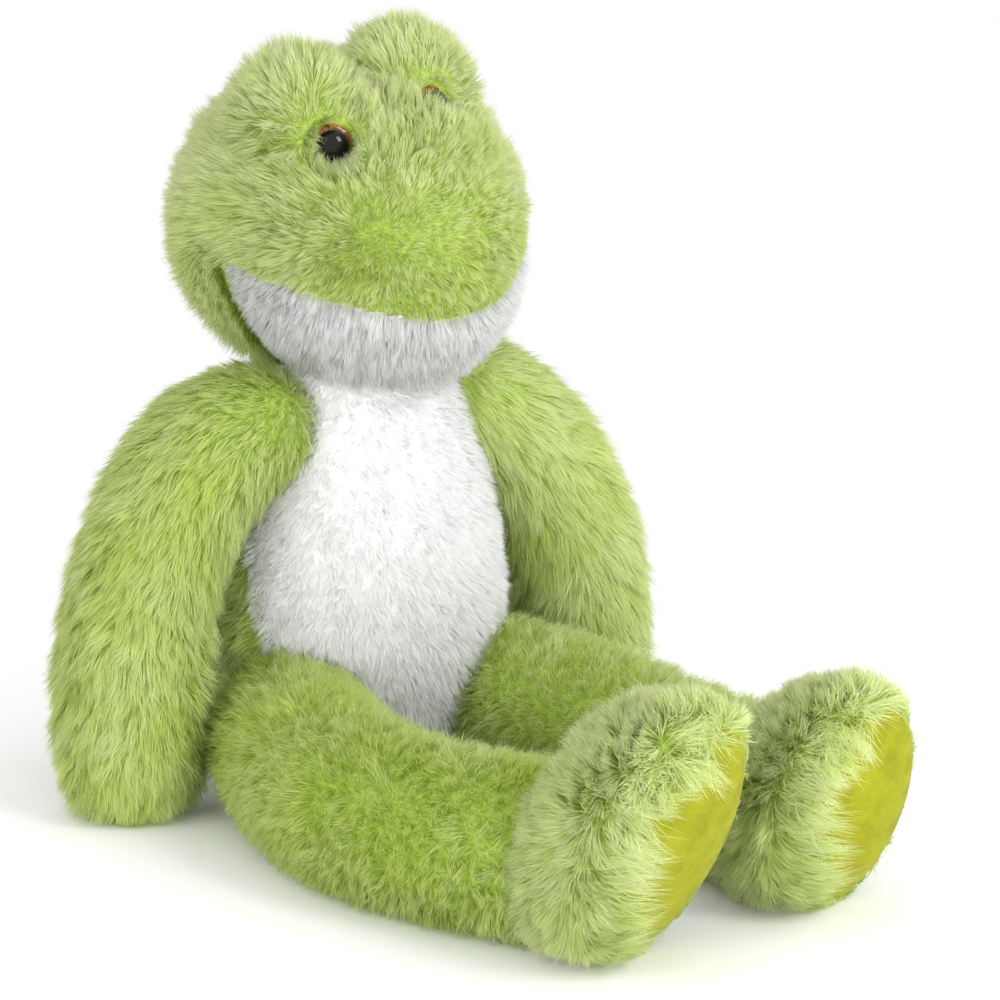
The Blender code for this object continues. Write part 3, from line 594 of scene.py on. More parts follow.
def foot_rings(side):
    """Ovals parallel to the sole, whose middles run straight back from it and sink."""
    matrix = foot_frame(side)
    slope = math.tan(FOOT_TILT[side])
    rows = [(-SOLE_DOME, 0, 0), (-SOLE_DOME * 0.7, 0.72, 0)]
    rows += [(depth * FOOT_DEPTH, size, sink * FOOT_SINK) for depth, size, sink in FOOT_SHARES]
    rows.append((FOOT_DEPTH, 0, 2.6 * FOOT_SINK))
    rings = []
    for depth, size, sink in rows:
        middle = matrix @ (0, -depth * slope - sink, -depth, 1)
        across, up = matrix[:3, 0] * FOOT_HALF_WIDTH * size, matrix[:3, 1] * FOOT_HALF_LENGTH[side] * size
        rings.append(np.hstack([middle[:3], across, up]))
    return np.array(rings)


def foot_share(points, side):
    """How far out of the foot a point lies: 1 on its oval at the point's depth, and 9 past its ends."""
    local = to_foot(points, side)
    rows = spline(foot_rings(side), np.linspace(0, 7, 200))
    centres = to_foot(rows[:, :3], side)
    sizes = np.linalg.norm(rows[:, 3:].reshape(-1, 2, 3), axis=-1)
    depth, behind = -centres[:, 2], -local[..., 2]
    middle, half_width, half_length = (
        np.interp(behind, depth, column) for column in (centres[:, 1], sizes[:, 0], sizes[:, 1])
    )
    across = local[..., 0] / np.maximum(half_width, 1e-5)
    up = (local[..., 1] - middle) / np.maximum(half_length, 1e-5)
    return np.where((behind > depth[0]) & (behind < depth[-1]), np.hypot(across, up), 9.0)


def drawn_back(points, side):
    """Moves points that are in the foot back towards the hip to its surface, by halving steps."""
    low = np.zeros(points.shape[:-1])
    high = np.full(points.shape[:-1], MOST_BACK)
    buried = foot_share(points, side) < 1
    for _ in range(HALVINGS):
        middle = (low + high) / 2
        still = foot_share(points + middle[..., None] * (0, 1, 0), side) < 1
        low = np.where(still, middle, low)
        high = np.where(still, high, middle)
    return points + np.where(buried, high + GAP, 0)[..., None] * (0, 1, 0)


foot_grids, sole_grids = {}, {}
for side in HIPS:
    rings = foot_rings(side)
    places = np.linspace(0, 7, 2000)
    depths = -to_foot(spline(rings, places)[:, :3], side)[:, 2]
    edge = float(np.interp(SOLE_EDGE, depths, places))
    foot_grids[side] = ring_grid(rings, np.linspace(edge + 0.02, 7, 130), 180)
    foot_grids[side][..., 2] = np.maximum(foot_grids[side][..., 2], 0)
    sole_grids[side] = ring_grid(rings, np.linspace(0, edge, 40), 180)
print("toe of the right foot at", round(1000 * float(foot_grids["right"][..., 1].min()), 1), "mm")

# %% [markdown]
# ## Skins as meshes
# A grid becomes quads, and the rows at its poles are merged into one point each. A skin that is only part
# of a form, such as the belly panel, keeps the quads inside its seam and gets a wall of cloth inward.


# %% Skin meshes
def link(name, mesh, material):
    """An object of this mesh and material, put in the scene."""
    mesh.materials.append(material)
    thing = bpy.data.objects.new(name, mesh)
    bpy.context.scene.collection.objects.link(thing)
    return thing


def grid_mesh(name, grid, material, keep=None, wall=0.0):
    """Quads between the grid's rows, wound so that they face out, each kept where its first corner is."""
    along, around = grid.shape[:2]
    index = np.arange(along * around).reshape(along, around)
    quads = np.stack([index[:-1], np.roll(index, -1, 1)[:-1], np.roll(index, -1, 1)[1:], index[1:]], -1)
    if keep is not None:
        quads = quads[keep[:-1]]
    quads = quads.reshape(-1, 4)
    points = grid.reshape(-1, 3)
    corners = points[quads]
    facing = np.cross(corners[:, 1] - corners[:, 0], corners[:, 3] - corners[:, 0])
    if (facing * grid_normals(grid).reshape(-1, 3)[quads[:, 0]]).sum() < 0:
        quads = quads[:, ::-1]
    used, quads = np.unique(quads, return_inverse=True)
    mesh = bpy.data.meshes.new(name)
    mesh.from_pydata(points[used], [], quads.reshape(-1, 4))
    mesh.shade_smooth()
    thing = link(name, mesh, material)
    weld = thing.modifiers.new("poles", "WELD")
    weld.merge_threshold = 2e-6
    if wall:
        shell = thing.modifiers.new("cloth", "SOLIDIFY")
        shell.thickness = wall
        shell.offset = -1
    return thing


def skin(name, grid, material, body, nodes, keep=None, wall=0.0):
    """A stuffed skin that rides on its body and stands for its solids and their stuffing."""
    made = grid_mesh(name, grid, material, keep, wall)
    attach(made, body)
    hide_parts(*nodes)
    return made


# %% Outlines of the white panels
BELLY_FOOT = 0.010  # the panel's lower end over the floor
BELLY_HEIGHTS = np.array((0.0, 0.07, 0.16, 0.27, 0.40, 0.55, 0.70, 0.85, 1.04))
BELLY_HEIGHTS = BELLY_FOOT + BELLY_HEIGHTS * (TORSO_HEIGHT - BELLY_FOOT)
BELLY_HALF_WIDTH = 0.047
BELLY_HALF = BELLY_HALF_WIDTH * np.array((0.28, 0.46, 0.76, 0.97, 1.03, 1.01, 0.92, 0.78, 0.58))
BELLY_BACK = 0.012  # the panel stays in front of this
SMILE_RISE = 0.024
MOUTH_DROP = 0.026
SIDE_SEAM = -0.006


def on_belly(points):
    """True inside the belly panel's outline, seen from the front."""
    half = np.interp(points[..., 2], BELLY_HEIGHTS, BELLY_HALF, left=0)
    return (points[..., 1] < BELLY_BACK) & (np.abs(points[..., 0]) < half)


def over_smile(local):
    """Height over the smile, a parabola that rises to the sides, in the head's own frame."""
    return local[..., 2] - (SMILE_RISE * (local[..., 0] / HEAD_HALF[0]) ** 2 - MOUTH_DROP)


def on_chin(points):
    """True below the smile and in front of the side seams."""
    local = to_head(points)
    return (over_smile(local) < 0) & (local[..., 1] < SIDE_SEAM)


print("belly panel's widest in mm:", round(2000 * float(BELLY_HALF.max()), 1))

# %% Skins of the frog
CLOTH = 0.004  # wall of a skin that is open at a seam
FLAT_PILE = 0.0012  # how thick the pile is where a limb rests on the floor


def off_floor(grid):
    """The grid with its lowest points at the top of the flattened pile."""
    return np.stack([grid[..., 0], grid[..., 1], np.maximum(grid[..., 2], FLAT_PILE)], -1)


thin = (slice(None, None, 2), slice(None, None, 3))
belly_here = on_belly(torso_grid[thin])
chin_here = on_chin(head_grid[thin])
torso_skin, head_skin = torso_skin_grid[thin], head_grid[thin]
skin("torso_skin", torso_skin, green_backing_painted_shade, "torso", ["torso_back", "torso_stuffing"],
     keep=~belly_here, wall=CLOTH)
skin("belly_skin", torso_skin, white_backing, "torso", ["belly_panel"],
     keep=belly_here, wall=CLOTH)
skin("head_backing", head_skin, green_backing_painted_shade, "head", ["head_skin", "head_stuffing"],
     keep=~chin_here, wall=CLOTH)
skin("chin_backing", head_skin, white_backing, "head", ["chin_panel"],
     keep=chin_here, wall=CLOTH)
for side in SHOULDERS:
    arm = off_floor(clear_of_torso(arm_grids[side], SHOULDERS[side], SHOULDER_BALL)[thin])
    leg = off_floor(drawn_back(leg_grids[side], side)[thin])
    for part, body, slot, grid, wall in (
        ("arm", f"arm_{side}", "green_fur", arm, 0.0),
        ("leg", f"leg_{side}", "leg_green_fur", leg, 0.0),
        ("foot", f"leg_{side}", "leg_green_fur", foot_grids[side][thin], CLOTH),
    ):
        nodes = [f"{part}_skin_{side}", f"{part}_stuffing_{side}"]
        skin(f"{part}_backing_{side}", grid, green_backing_painted_shade, body, nodes, wall=wall)

# %% [markdown]
# ## How the pile grows
# Real pile stands in tufts: neighbouring strands lean together and meet at their tips. Every strand here is
# an arc that starts upright, bends over in the combed direction and is pulled towards the middle of its
# tuft. The tufts come from the nearest of many scattered points, as in a cellular noise. Hair curves could
# draw the pile too, but they aren't part of a mesh, so each strand is a blade of three triangles here. It is
# about 0.2 mm wide, as several real fibres side by side, because real ones are too fine to draw singly.


# %% Tufts
def hashed(cells, salt):
    """Four random shares for each whole-number cell: its numbers times large primes, mixed by shifts."""
    x, y, z = (cells[..., i].astype(np.int64) for i in range(3))
    seed = (x * 73856093) ^ (y * 19349663) ^ (z * 83492791) ^ (salt * 2654435761)
    shares = []
    for step in range(1, 5):
        value = (seed + step * 0x9E3779B9) & 0xFFFFFFFF
        value = ((value ^ (value >> 16)) * 0x45D9F3B) & 0xFFFFFFFF
        value = ((value ^ (value >> 16)) * 0x45D9F3B) & 0xFFFFFFFF
        shares.append(((value ^ (value >> 16)) & 0xFFFFFF) / 0x1000000)
    return np.stack(shares, -1)


def tufts(points, size, salt):
    """For each point, the nearest of scattered tuft middles, one to a cube, and that tuft's random shares."""
    home = np.floor(points / size).astype(np.int64)
    best = np.full(len(points), np.inf)
    middle = points.copy()
    shares = np.zeros((len(points), 4))
    for step in np.ndindex(3, 3, 3):
        cells = home + np.array(step) - 1
        found = hashed(cells, salt)
        place = (cells + found[:, :3]) * size
        distance = ((place - points) ** 2).sum(1)
        nearer = distance < best
        best[nearer] = distance[nearer]
        middle[nearer] = place[nearer]
        shares[nearer] = hashed(cells[nearer], salt + 77)
    return middle, shares


def patches(points, size, salt):
    """A slow mottle about 0: 0.8 times the mean of six random sines, about this size from crest to crest."""
    pick = np.random.default_rng(salt)
    ways = unit(pick.normal(size=(6, 3))) * 2 * np.pi / size * pick.uniform(0.6, 1.5, (6, 1))
    return 0.8 * np.sin(points @ ways.T + pick.uniform(0, 2 * np.pi, 6)).mean(1)


print("tuft shares of one cell:", hashed(np.array([[1, 2, 3]]), 5).round(3))


# %% Scattering roots
WHORL_SOFT = 0.006  # how far from a whorl's middle its strands have bent half way


def away_from(points, whorl):
    """The way from a whorl, times d / (d + softness) at distance d, so strands stand up in its middle."""
    offset = points - whorl
    return offset / (np.linalg.norm(offset, axis=1, keepdims=True) + WHORL_SOFT)


def scatter(grid, count, salt, wanted=None):
    """Random points spread by area over the grid, with normals; wanted gives each cell's share, 0 to 1."""
    pick = np.random.default_rng(salt)
    normals = grid_normals(grid)
    here, ahead = grid[:-1], grid[1:]
    beside = np.roll(grid, -1, 1)[:-1]
    area = np.linalg.norm(np.cross(beside - here, ahead - here), axis=-1)
    if wanted is not None:
        area = area * wanted(here + (beside - here) / 2 + (ahead - here) / 2)
    cell = pick.choice(area.size, size=count, p=area.ravel() / area.sum())
    row, column = np.divmod(cell, grid.shape[1])
    right = (column + 1) % grid.shape[1]
    f, g = pick.random((2, count, 1))
    blend = [(1 - f) * (1 - g), (1 - f) * g, f * (1 - g), f * g]
    at = [(row, column), (row, right), (row + 1, column), (row + 1, right)]
    points = sum(w * grid[i] for w, i in zip(blend, at))
    return points, unit(sum(w * normals[i] for w, i in zip(blend, at)))


def scatter_on(grid, count, salt, panel, wanted):
    """Roots where both hold; the panel is tested at each root too, because a cell is tested at its middle."""
    points, normals = scatter(grid, count, salt, lambda p: panel(p) & wanted(p))
    keep = panel(points)
    return points[keep], normals[keep]


print("a root on the head at", scatter(head_grid, 1, 1)[0][0].round(3))


# %% Strand lines and blade corners
STEPS = np.array((0.0, 0.52, 1.0))  # where along a strand its blade has corners, the last at the tip
BLADE_WIDTHS = np.array((0.75, 0.888))  # shares of the width at each step but the last
LOCK_PULL = 0.12
FLAT_ROOT = 0.0003  # how high flattened pile lies at its root


def in_skin(vectors, normals):
    """Each vector less its part along the normal."""
    return vectors - normals * (vectors * normals).sum(1, keepdims=True)


def strand_lines(points, normals, lean, length, stand, tilt, small, lock, pull, bend):
    """Each strand's points at the steps, by the formula that grow gives."""
    start = unit(normals + tilt * (1 - stand) * lean)
    finish = unit(stand * normals + 1.25 * (1 - stand) * lean)
    step = STEPS[:, None]
    length = length[:, None, None]
    return (
        points[:, None]
        + start[:, None] * length * (step - step**2 / 2)
        + finish[:, None] * length * step**2 / 2
        + in_skin(small - points, normals)[:, None] * pull * step**1.3
        + in_skin(lock - points, normals)[:, None] * LOCK_PULL * step**2
        + np.broadcast_to(bend, points.shape)[:, None] * length * step**2
    )


def blade_corners(line, normals, width, pick):
    """Corners half the width to each side of the line and one at its tip, and their shading normals.

    A blade lies flat on the skin before a random twist about its line. Its shading normals are the skin's,
    less most of their part along the strand, so the pile takes the light as one soft surface.
    """
    count = len(line)
    heading = unit(np.gradient(line, axis=1))
    flat = unit(np.cross(heading, normals[:, None]))
    twist = pick.normal(scale=0.85, size=(count, 1, 1))
    across = flat * np.cos(twist) + np.cross(flat, heading) * np.sin(twist)
    half = (width * pick.uniform(0.75, 1.25, (count, 1)) * BLADE_WIDTHS / 2)[..., None]
    left = line[:, :-1] - across[:, :-1] * half
    right = line[:, :-1] + across[:, :-1] * half
    turned = (np.cross(right[:, 0] - left[:, 0], heading[:, 0]) * normals).sum(1) < 0
    left[turned], right[turned] = right[turned], left[turned]
    vertices = np.empty((count, 2 * len(STEPS) - 1, 3))
    vertices[:, 0:-1:2], vertices[:, 1:-1:2], vertices[:, -1] = left, right, line[:, -1]
    rise = np.append(np.repeat(STEPS[:-1], 2), 1.0)
    resting = FLAT_ROOT + (FLAT_PILE - FLAT_ROOT) * pick.random((count, 1)) * rise
    vertices[..., 2] = np.maximum(vertices[..., 2], resting)
    square = normals[:, None] - 0.7 * heading * (heading * normals[:, None]).sum(-1, keepdims=True)
    square = unit(square + 0.12 * pick.normal(size=(count, 1, 3)))
    return vertices, np.concatenate([np.repeat(square[:, :-1], 2, axis=1), square[:, -1:]], axis=1)


print("places along a strand:", STEPS)


# %% Growing strands
PILES = {"green_fur": green_pile, "leg_green_fur": green_pile, "white_fur": white_pile}
BLADE = 0.00027  # full width, of which BLADE_WIDTHS are shares
LOCK = 2.9  # size of a lock, which is made of several tufts, in tufts
THROW = {"lock": 1.3, "tuft": 1.5, "strand": 0.26}  # how far each throws a strand off the comb
TINT_SPREAD = {"lock": 0.12, "tuft": 0.16, "strand": 0.06}
SHORT_PILE = {"width": 0.00030, "tuft": 0.0024, "pull": 0.15, "ruffle": 0.6}  # of the white panels


def blades(name, body, slot, vertices, shading, tint):
    """One mesh of all the strands, each a quad between two steps and a pointed tip.

    Its map holds the strand's paleness, and how far along it each corner lies.
    """
    count, size = vertices.shape[:2]
    quads = len(STEPS) - 2
    order = [(2 * i, 2 * i + 1, 2 * i + 3, 2 * i + 2) for i in range(quads)]
    order = np.concatenate(order + [(size - 3, size - 2, size - 1)])
    sides = np.where(order == size - 1, 0, np.where(order % 2, 1, -1)) * 0.012
    mesh = bpy.data.meshes.new(name)
    mesh.vertices.add(count * size)
    mesh.vertices.foreach_set("co", vertices.astype(np.float32).ravel())
    corners = (order[None, :] + size * np.arange(count)[:, None]).astype(np.int32)
    mesh.loops.add(corners.size)
    mesh.loops.foreach_set("vertex_index", corners.ravel())
    mesh.polygons.add(count * (quads + 1))
    starts = (4 * np.arange(quads + 1)[None, :] + len(order) * np.arange(count)[:, None]).astype(np.int32)
    mesh.polygons.foreach_set("loop_start", starts.ravel())
    along = np.clip(STEPS[order // 2], 0.01, 0.99)
    places = np.stack(np.broadcast_arrays(tint[:, None] + sides, along[None, :]), -1)
    mesh.uv_layers.new(name="OFBake").uv.foreach_set("vector", places.astype(np.float32).ravel())
    mesh.update(calc_edges=True)
    mesh.shade_smooth()
    kept = mesh.attributes.new("custom_normal", "FLOAT_VECTOR", "POINT")
    kept.data.foreach_set("vector", shading.astype(np.float32).ravel())
    made = link(name, mesh, PILES[slot])
    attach(made, body)
    print(f"{name}: {count} strands, {count * (2 * quads + 1)} triangles")


def grow(name, body, slot, points, normals, comb, length, stand, tint, salt,
         width=BLADE, tuft=0.0030, pull=0.40, ruffle=1.0, tilt=0.45, bend=(0, 0, -0.05)):
    """Grows a strand at each root.

    A strand of length L leaves its root along D0, the skin's normal with some tilt, and ends along D1, the
    stand share of the normal and the rest of the combed direction. Its point at share s is L (s D0 + s s
    (D1 - D0) / 2) from its root, and then goes towards the middle of its tuft by the pull, towards that of
    its lock by less, and by the bend times L s s.
    """
    pick = np.random.default_rng(salt)
    count = len(points)
    lock, lock_shares = tufts(points, tuft * LOCK, salt + 1)
    small, small_shares = tufts(points, tuft, salt + 2)
    by_lock, by_tuft = lock_shares - 0.5, small_shares - 0.5
    ruffle, stand, tilt = (np.broadcast_to(value, count)[:, None] for value in (ruffle, stand, tilt))
    lean = comb + ruffle * (THROW["lock"] * by_lock[:, :3] + THROW["tuft"] * by_tuft[:, :3])
    lean = in_skin(lean + ruffle * THROW["strand"] * pick.normal(size=(count, 3)), normals)
    length = length * (1 + 0.20 * by_lock[:, 3] + 0.20 * by_tuft[:, 3]) * pick.uniform(0.72, 1.06, count)
    line = strand_lines(points, normals, lean, length, stand, tilt, small, lock, pull, bend)
    vertices, shading = blade_corners(line, normals, width, pick)
    tint = tint + TINT_SPREAD["tuft"] * by_tuft[:, 1] + TINT_SPREAD["lock"] * by_lock[:, 2]
    tint = np.clip(tint + TINT_SPREAD["strand"] * pick.normal(size=count), 0.02, 0.98)
    blades(name, body, slot, vertices, shading, tint)


print("pile slots:", ", ".join(PILES))


# %% [markdown]
# ## Where the pile may grow
# No strand grows where a sewn part is pressed on another, under the eyes or on the middle of a sole. Near
# each eye the pile is short and combed away from it, so the button stays clear.


# %% Places
def near_tube(points, spine, radii):
    """Distance from a tube's surface, under 0 inside it: the least distance less radius over its spine."""
    places = np.linspace(0, len(spine) - 1, 40)
    rows = spline(np.hstack([spine, radii[:, None]]), places)
    gap = np.full(points.shape[:-1], np.inf)
    for row in rows:
        gap = np.minimum(gap, np.linalg.norm(points - row[:3], axis=-1) - row[3])
    return gap


def along_limb(points, spine):
    """How far along its limb each point lies, 0 to 1, and the spine's direction there."""
    line = spline(spine, np.linspace(0, len(spine) - 1, 30))
    nearest = np.argmin(np.linalg.norm(points[:, None] - line[None], axis=-1), axis=1)
    return nearest / (len(line) - 1), unit(np.gradient(line, axis=0))[nearest]


def clear_of_neck(points):
    """True over the neck's top or outside the neck, where the head isn't pressed on the torso."""
    return (points[..., 2] > TORSO_HEIGHT + 0.001) | (torso_share(points) > 1.0)


def free_of_limbs(points, margin):
    """True where no arm or leg covers the torso's skin by more than the margin."""
    free = points[..., 2] < TORSO_HEIGHT - 0.001
    for side in SHOULDERS:
        free &= near_tube(points, *arm_lines[side]) > -margin
        free &= near_tube(points, *leg_lines[side]) > -margin
    return free


arm_lines = {side: arm_spine(side) for side in SHOULDERS}
leg_lines = {side: leg_spine(side) for side in HIPS}
print("right arm line from", arm_lines["right"][0][0].round(3), "to", arm_lines["right"][0][-1].round(3))

# %% [markdown]
# ## Head pile
# Seen in the photograph, the pile radiates from the middle of each cheek: forward over the snout, up to the
# eye mounds and back over the head. It is shorter on the snout and above the smile. Behind the chin it is
# long and combed forward over the seam. The chin's own pile is short and white, and hangs down.

# %% How the head's pile lies
HOLLOW = unit((1.0, 0.0, 0.8)) @ HEAD_FRAME[:3, :3].T  # up and to the frog's left, where pile stands back
CHEEK = (0.0335, -0.0556, -0.0020)  # the left cheek's whorl, in the head's own frame
CHEEK_REACH = 0.011
MIDLINE = 0.012  # how widely the two cheeks' combs meet
HEAD_PILE, SNOUT_SHORTER, SEAM_PILE = 0.0102, 0.0036, 0.0135  # lengths of the pile
EYE_LID = {"left": 0.9, "right": 0.45}  # how fully the pile below each eye keeps the head's own comb


def head_lie(points, salt):
    """Comb, length, stand and tint of the pile over the head, apart from the eyes."""
    local = to_head(points)
    whorl = np.tile(CHEEK, (len(local), 1))
    whorl[:, 0] *= np.tanh(local[:, 0] / MIDLINE)
    near_whorl = np.exp(-((local - whorl) ** 2).sum(1) / CHEEK_REACH**2)
    height = over_smile(local)
    by_smile = np.clip(1 - height / 0.012, 0, 1) * (local[:, 1] < 0.0)
    behind_chin = np.clip(1.3 - np.abs(local[:, 1]) / 0.010, 0, 1) * np.clip(1 - height / 0.006, 0, 1)
    snout = np.clip((-local[:, 1] - 0.030) / 0.030, 0, 1) * np.clip((0.040 - local[:, 2]) / 0.02, 0, 1)
    comb = (away_from(local, whorl) + (0, 0.06, -0.08)) @ HEAD_FRAME[:3, :3].T
    comb = comb + behind_chin[:, None] * (0, -2.4, 0.2)
    length = (HEAD_PILE - SNOUT_SHORTER * snout) * (1 - 0.15 * near_whorl) * (1 - 0.55 * by_smile)
    length = length * (1 - behind_chin) + SEAM_PILE * behind_chin
    stand = 0.60 + 0.12 * near_whorl - 0.30 * behind_chin
    # The pile is paler higher on the head and deeper lower down, as painted light from above and painted
    # shade below; under the snout it is deeper still, as painted shade. It is also a little paler towards the
    # back and deeper by the cheeks' whorls, with a slow mottle of tone.
    tint = 0.56 + 0.30 * patches(points, 0.03, salt) + 0.14 * np.clip(local[:, 2] / 0.05, -1, 1)
    tint = tint + 0.10 * np.clip(local[:, 1] / 0.05, 0, 1)
    tint = tint - 0.12 * snout * (local[:, 2] < 0.0) - 0.08 * near_whorl
    return comb, length, stand, tint


def lie_by_eyes(points, comb, length, stand, tint):
    """The same four, with the pile near each eye turned away from it, shorter, flatter and paler."""
    for side in EYES:
        height, distance, outward = eye_offsets(points, side)
        toward = outward @ HOLLOW
        hollow = np.maximum(toward, 0)
        here = np.abs(height) < BY_EYE
        close = np.clip((0.0125 + 0.003 * hollow - distance) / 0.005, 0, 1) * here
        close = close * (1 - EYE_LID[side] * np.maximum(-toward, 0))
        comb = comb * (1 - close[:, None]) + outward * close[:, None] * 2.0
        length = length * (1 - (0.45 + 0.2 * hollow) * close)
        stand = stand - 0.35 * close
        tint = tint + 0.35 * close
        if side == "left":  # the snout's pile laps over the lower edge of this eye
            lap = np.clip((0.0145 - distance) / 0.004, 0, 1) * np.clip(-1.4 * toward, 0, 1) * here
            comb = comb - outward * lap[:, None] * 0.4
            length = length * (1 + 0.10 * lap)
    return comb, length, stand, tint


# %% Head pile
def head_pile(name, count, salt, front):
    """Pile on the head's front or back half, outside the chin and clear of the eyes."""
    points, normals = scatter_on(head_grid, count, salt, lambda p: ~on_chin(p),
                                 lambda p: ((to_head(p)[..., 1] < 0.0) == front) & clear_of_neck(p))
    keep = np.ones(len(points), bool)
    for side in EYES:
        height, distance, outward = eye_offsets(points, side)
        bare = SOCKET_RADIUS + 0.0014 * np.maximum(outward @ HOLLOW, 0)
        keep &= (distance > bare) | (np.abs(height) > BY_EYE)
    points, normals = points[keep], normals[keep]
    lie = lie_by_eyes(points, *head_lie(points, salt))
    grow(name, "head", "green_fur", points, normals, *lie, salt, pull=0.32, ruffle=0.72)


head_pile("head_pile_front", 62000, 11, True)
head_pile("head_pile_back", 60000, 12, False)

# %% Chin pile
CHIN_PILE = 0.0072

points, normals = scatter_on(head_grid, 44000, 13, on_chin, clear_of_neck)
keep = to_head(points)[:, 1] < SIDE_SEAM - 0.003  # the seam's last 3 mm are the green pile's
points, normals = points[keep], normals[keep]
local = to_head(points)
by_side = np.clip((local[:, 1] + 0.022) / 0.012, 0, 1)
corner = np.clip((local[:, 1] + 0.040) / 0.030, 0, 1)[:, None] * np.clip((local[:, 2:] + 0.030) / 0.020, 0, 1)
comb = (1 - corner) * (0, -0.1, -0.9) + corner * (0, -0.3, 0.9)
tint = 0.5 + 0.3 * patches(points, 0.02, 5)
grow("chin_pile", "head", "white_fur", points, normals, comb, CHIN_PILE * (1 - 0.5 * by_side), 0.68, tint,
     13, **SHORT_PILE)

# %% [markdown]
# ## Body pile
# The green pile of the back falls down and outward. The belly is a shorter white pile, combed down.

# %% Torso and belly pile
BACK_PILE = 0.0115
BELLY_PILE = 0.0070

points, normals = scatter_on(torso_grid, 42000, 21, lambda p: ~on_belly(p), lambda p: free_of_limbs(p, 0.006))
comb = unit(points * (4, 0, 0) + (0, 0.05, -1.0))
tint = 0.50 + 0.3 * patches(points, 0.03, 6)
grow("torso_pile", "torso", "green_fur", points, normals, comb, BACK_PILE, 0.50, tint, 21)

points, normals = scatter_on(torso_grid, 46000, 22, on_belly, lambda p: free_of_limbs(p, 0.003))
comb = unit(points * (6, 0, 0) + (0, -0.1, -1.0))
tint = 0.55 + 0.3 * patches(points, 0.02, 7)
grow("belly_pile", "torso", "white_fur", points, normals, comb, BELLY_PILE, 0.58, tint, 22, **SHORT_PILE)

# %% [markdown]
# ## Arm pile
# The arms' pile is long. It is combed down the arm and a little outward, and lies flat.

# %% Arm pile
# side, salt of the random draws, count of strands, their length and their paleness; the left arm is paler,
# as painted light on the frog's far, lit side
ARM_PILES = (("right", 31, 65000, 0.0112, 0.42), ("left", 32, 52000, 0.0126, 0.55))

for side, salt, count, longest, tone in ARM_PILES:
    points, normals = scatter(arm_grids[side], count, salt, lambda p: torso_share(p) > 0.80)
    share, flow = along_limb(points, arm_lines[side][0])
    down = share[:, None]
    away = unit(points - SHOULDERS[side])
    outward = 0.12 * np.sign(SHOULDERS[side][0])
    comb = unit(flow * (0.6 + 0.5 * down) + away * (0.5 - 0.4 * down) + (outward, 0, -0.25))
    length = longest - 0.002 * np.clip((0.1 - share) / 0.1, 0, 1)
    tint = tone + 0.34 * patches(points, 0.035, salt)
    grow(f"arm_pile_{side}", f"arm_{side}", "green_fur", points, normals, comb, length, 0.32, tint, salt,
         pull=0.26, ruffle=0.34 + 0.22 * share, tilt=1.1)

# %% [markdown]
# ## Leg and foot pile
# The leg pile is short and stands up in a tangle, with two whorls. Where the torso covers a thigh it is
# pressed flat. On the feet the pile is pale and radiates from a whorl behind the sole, over the toe. By the
# sole's edge it is long, and on the frog's right it laps over the suede.

# %% Leg pile
LEG_WHORLS = np.array(((-0.0734, -0.0621, 0.0518), (-0.0938, -0.1057, 0.0375)))  # on the frog's right leg
LEG_WHORL_REACH = 0.020
LEG_PILE = 0.0092
PRESSED_SHORTER = 0.0050
LEG_PILES = (("right", 41, 62000, 0.30), ("left", 42, 46000, 0.42))  # side, salt, count and paleness

for side, salt, count, tone in LEG_PILES:
    points, normals = scatter(leg_grids[side], count, salt,
                              lambda p: (torso_share(p) > 0.60) & (foot_share(p, side) > 0.97))
    share, flow = along_limb(points, leg_lines[side][0])
    out = np.sign(HIPS[side][0])
    comb = unit(flow * 0.7 + (0.25 * out, 0, -0.2))
    for whorl in LEG_WHORLS:
        middle = whorl * (-out, 1, 1)
        near = np.exp(-((points - middle) ** 2).sum(1) / LEG_WHORL_REACH**2)[:, None]
        comb = comb * (1 - near) + 1.4 * away_from(points, middle) * near
    pressed = np.clip((0.92 - torso_share(points)) / 0.06, 0, 1)  # 1 where the torso covers the thigh
    length, stand = LEG_PILE - PRESSED_SHORTER * pressed, 0.55 - 0.52 * pressed
    tint = tone + 0.34 * patches(points, 0.03, salt) + 0.22 * np.clip(share - 0.6, 0, 1)
    grow(f"leg_pile_{side}", f"leg_{side}", "leg_green_fur", points, normals, comb, length, stand, tint, salt,
         ruffle=1.15 * (1 - 0.6 * pressed), tilt=0.45 + 2.5 * pressed)

# %% Foot roots
TOE_LAP = {"right": 0.09, "left": 0.00}
SOLE_ROOTS = 14000  # scattered over a sole, before all but its lapped border go


def fringe_share(points, side):
    """Over 0 on the sole's border where the furred side laps over it: at the frog's right and at the toe."""
    local = to_foot(points, side) / (FOOT_HALF_WIDTH, FOOT_HALF_LENGTH[side], 1)
    out = np.hypot(local[:, 0], local[:, 1])
    left, up = local[:, 0] / out, local[:, 1] / out
    return out - 0.80 - 0.24 * np.clip(left + 0.35, 0, 1) + TOE_LAP[side] * np.clip(up, 0, 1)


def foot_roots(side, count, salt):
    """Roots on the foot's skin and then on the sole's lapped border, and which of them are on the sole."""
    points, normals = scatter(foot_grids[side], count, salt,
                              lambda p: near_tube(p, *leg_lines[side]) > -0.004)
    over, over_normals = scatter(sole_grids[side], SOLE_ROOTS, salt + 5)
    seen = fringe_share(over, side) > 0
    on_sole = np.arange(count + seen.sum()) >= count
    return np.vstack([points, over[seen]]), np.vstack([normals, over_normals[seen]]), on_sole


print("roots on the right sole:", int(foot_roots("right", 10, 51)[2].sum()))

# %% Foot pile
WHORL_RISE = 0.004
WHORL_DEPTH = {"right": 0.25, "left": 0.50}  # behind the sole, as a share of the foot's depth
SIDE_LENGTH = 0.0096
FRINGE_LENGTH = {"right": 0.0145, "left": 0.0150}
EDGE_REACH = 0.010

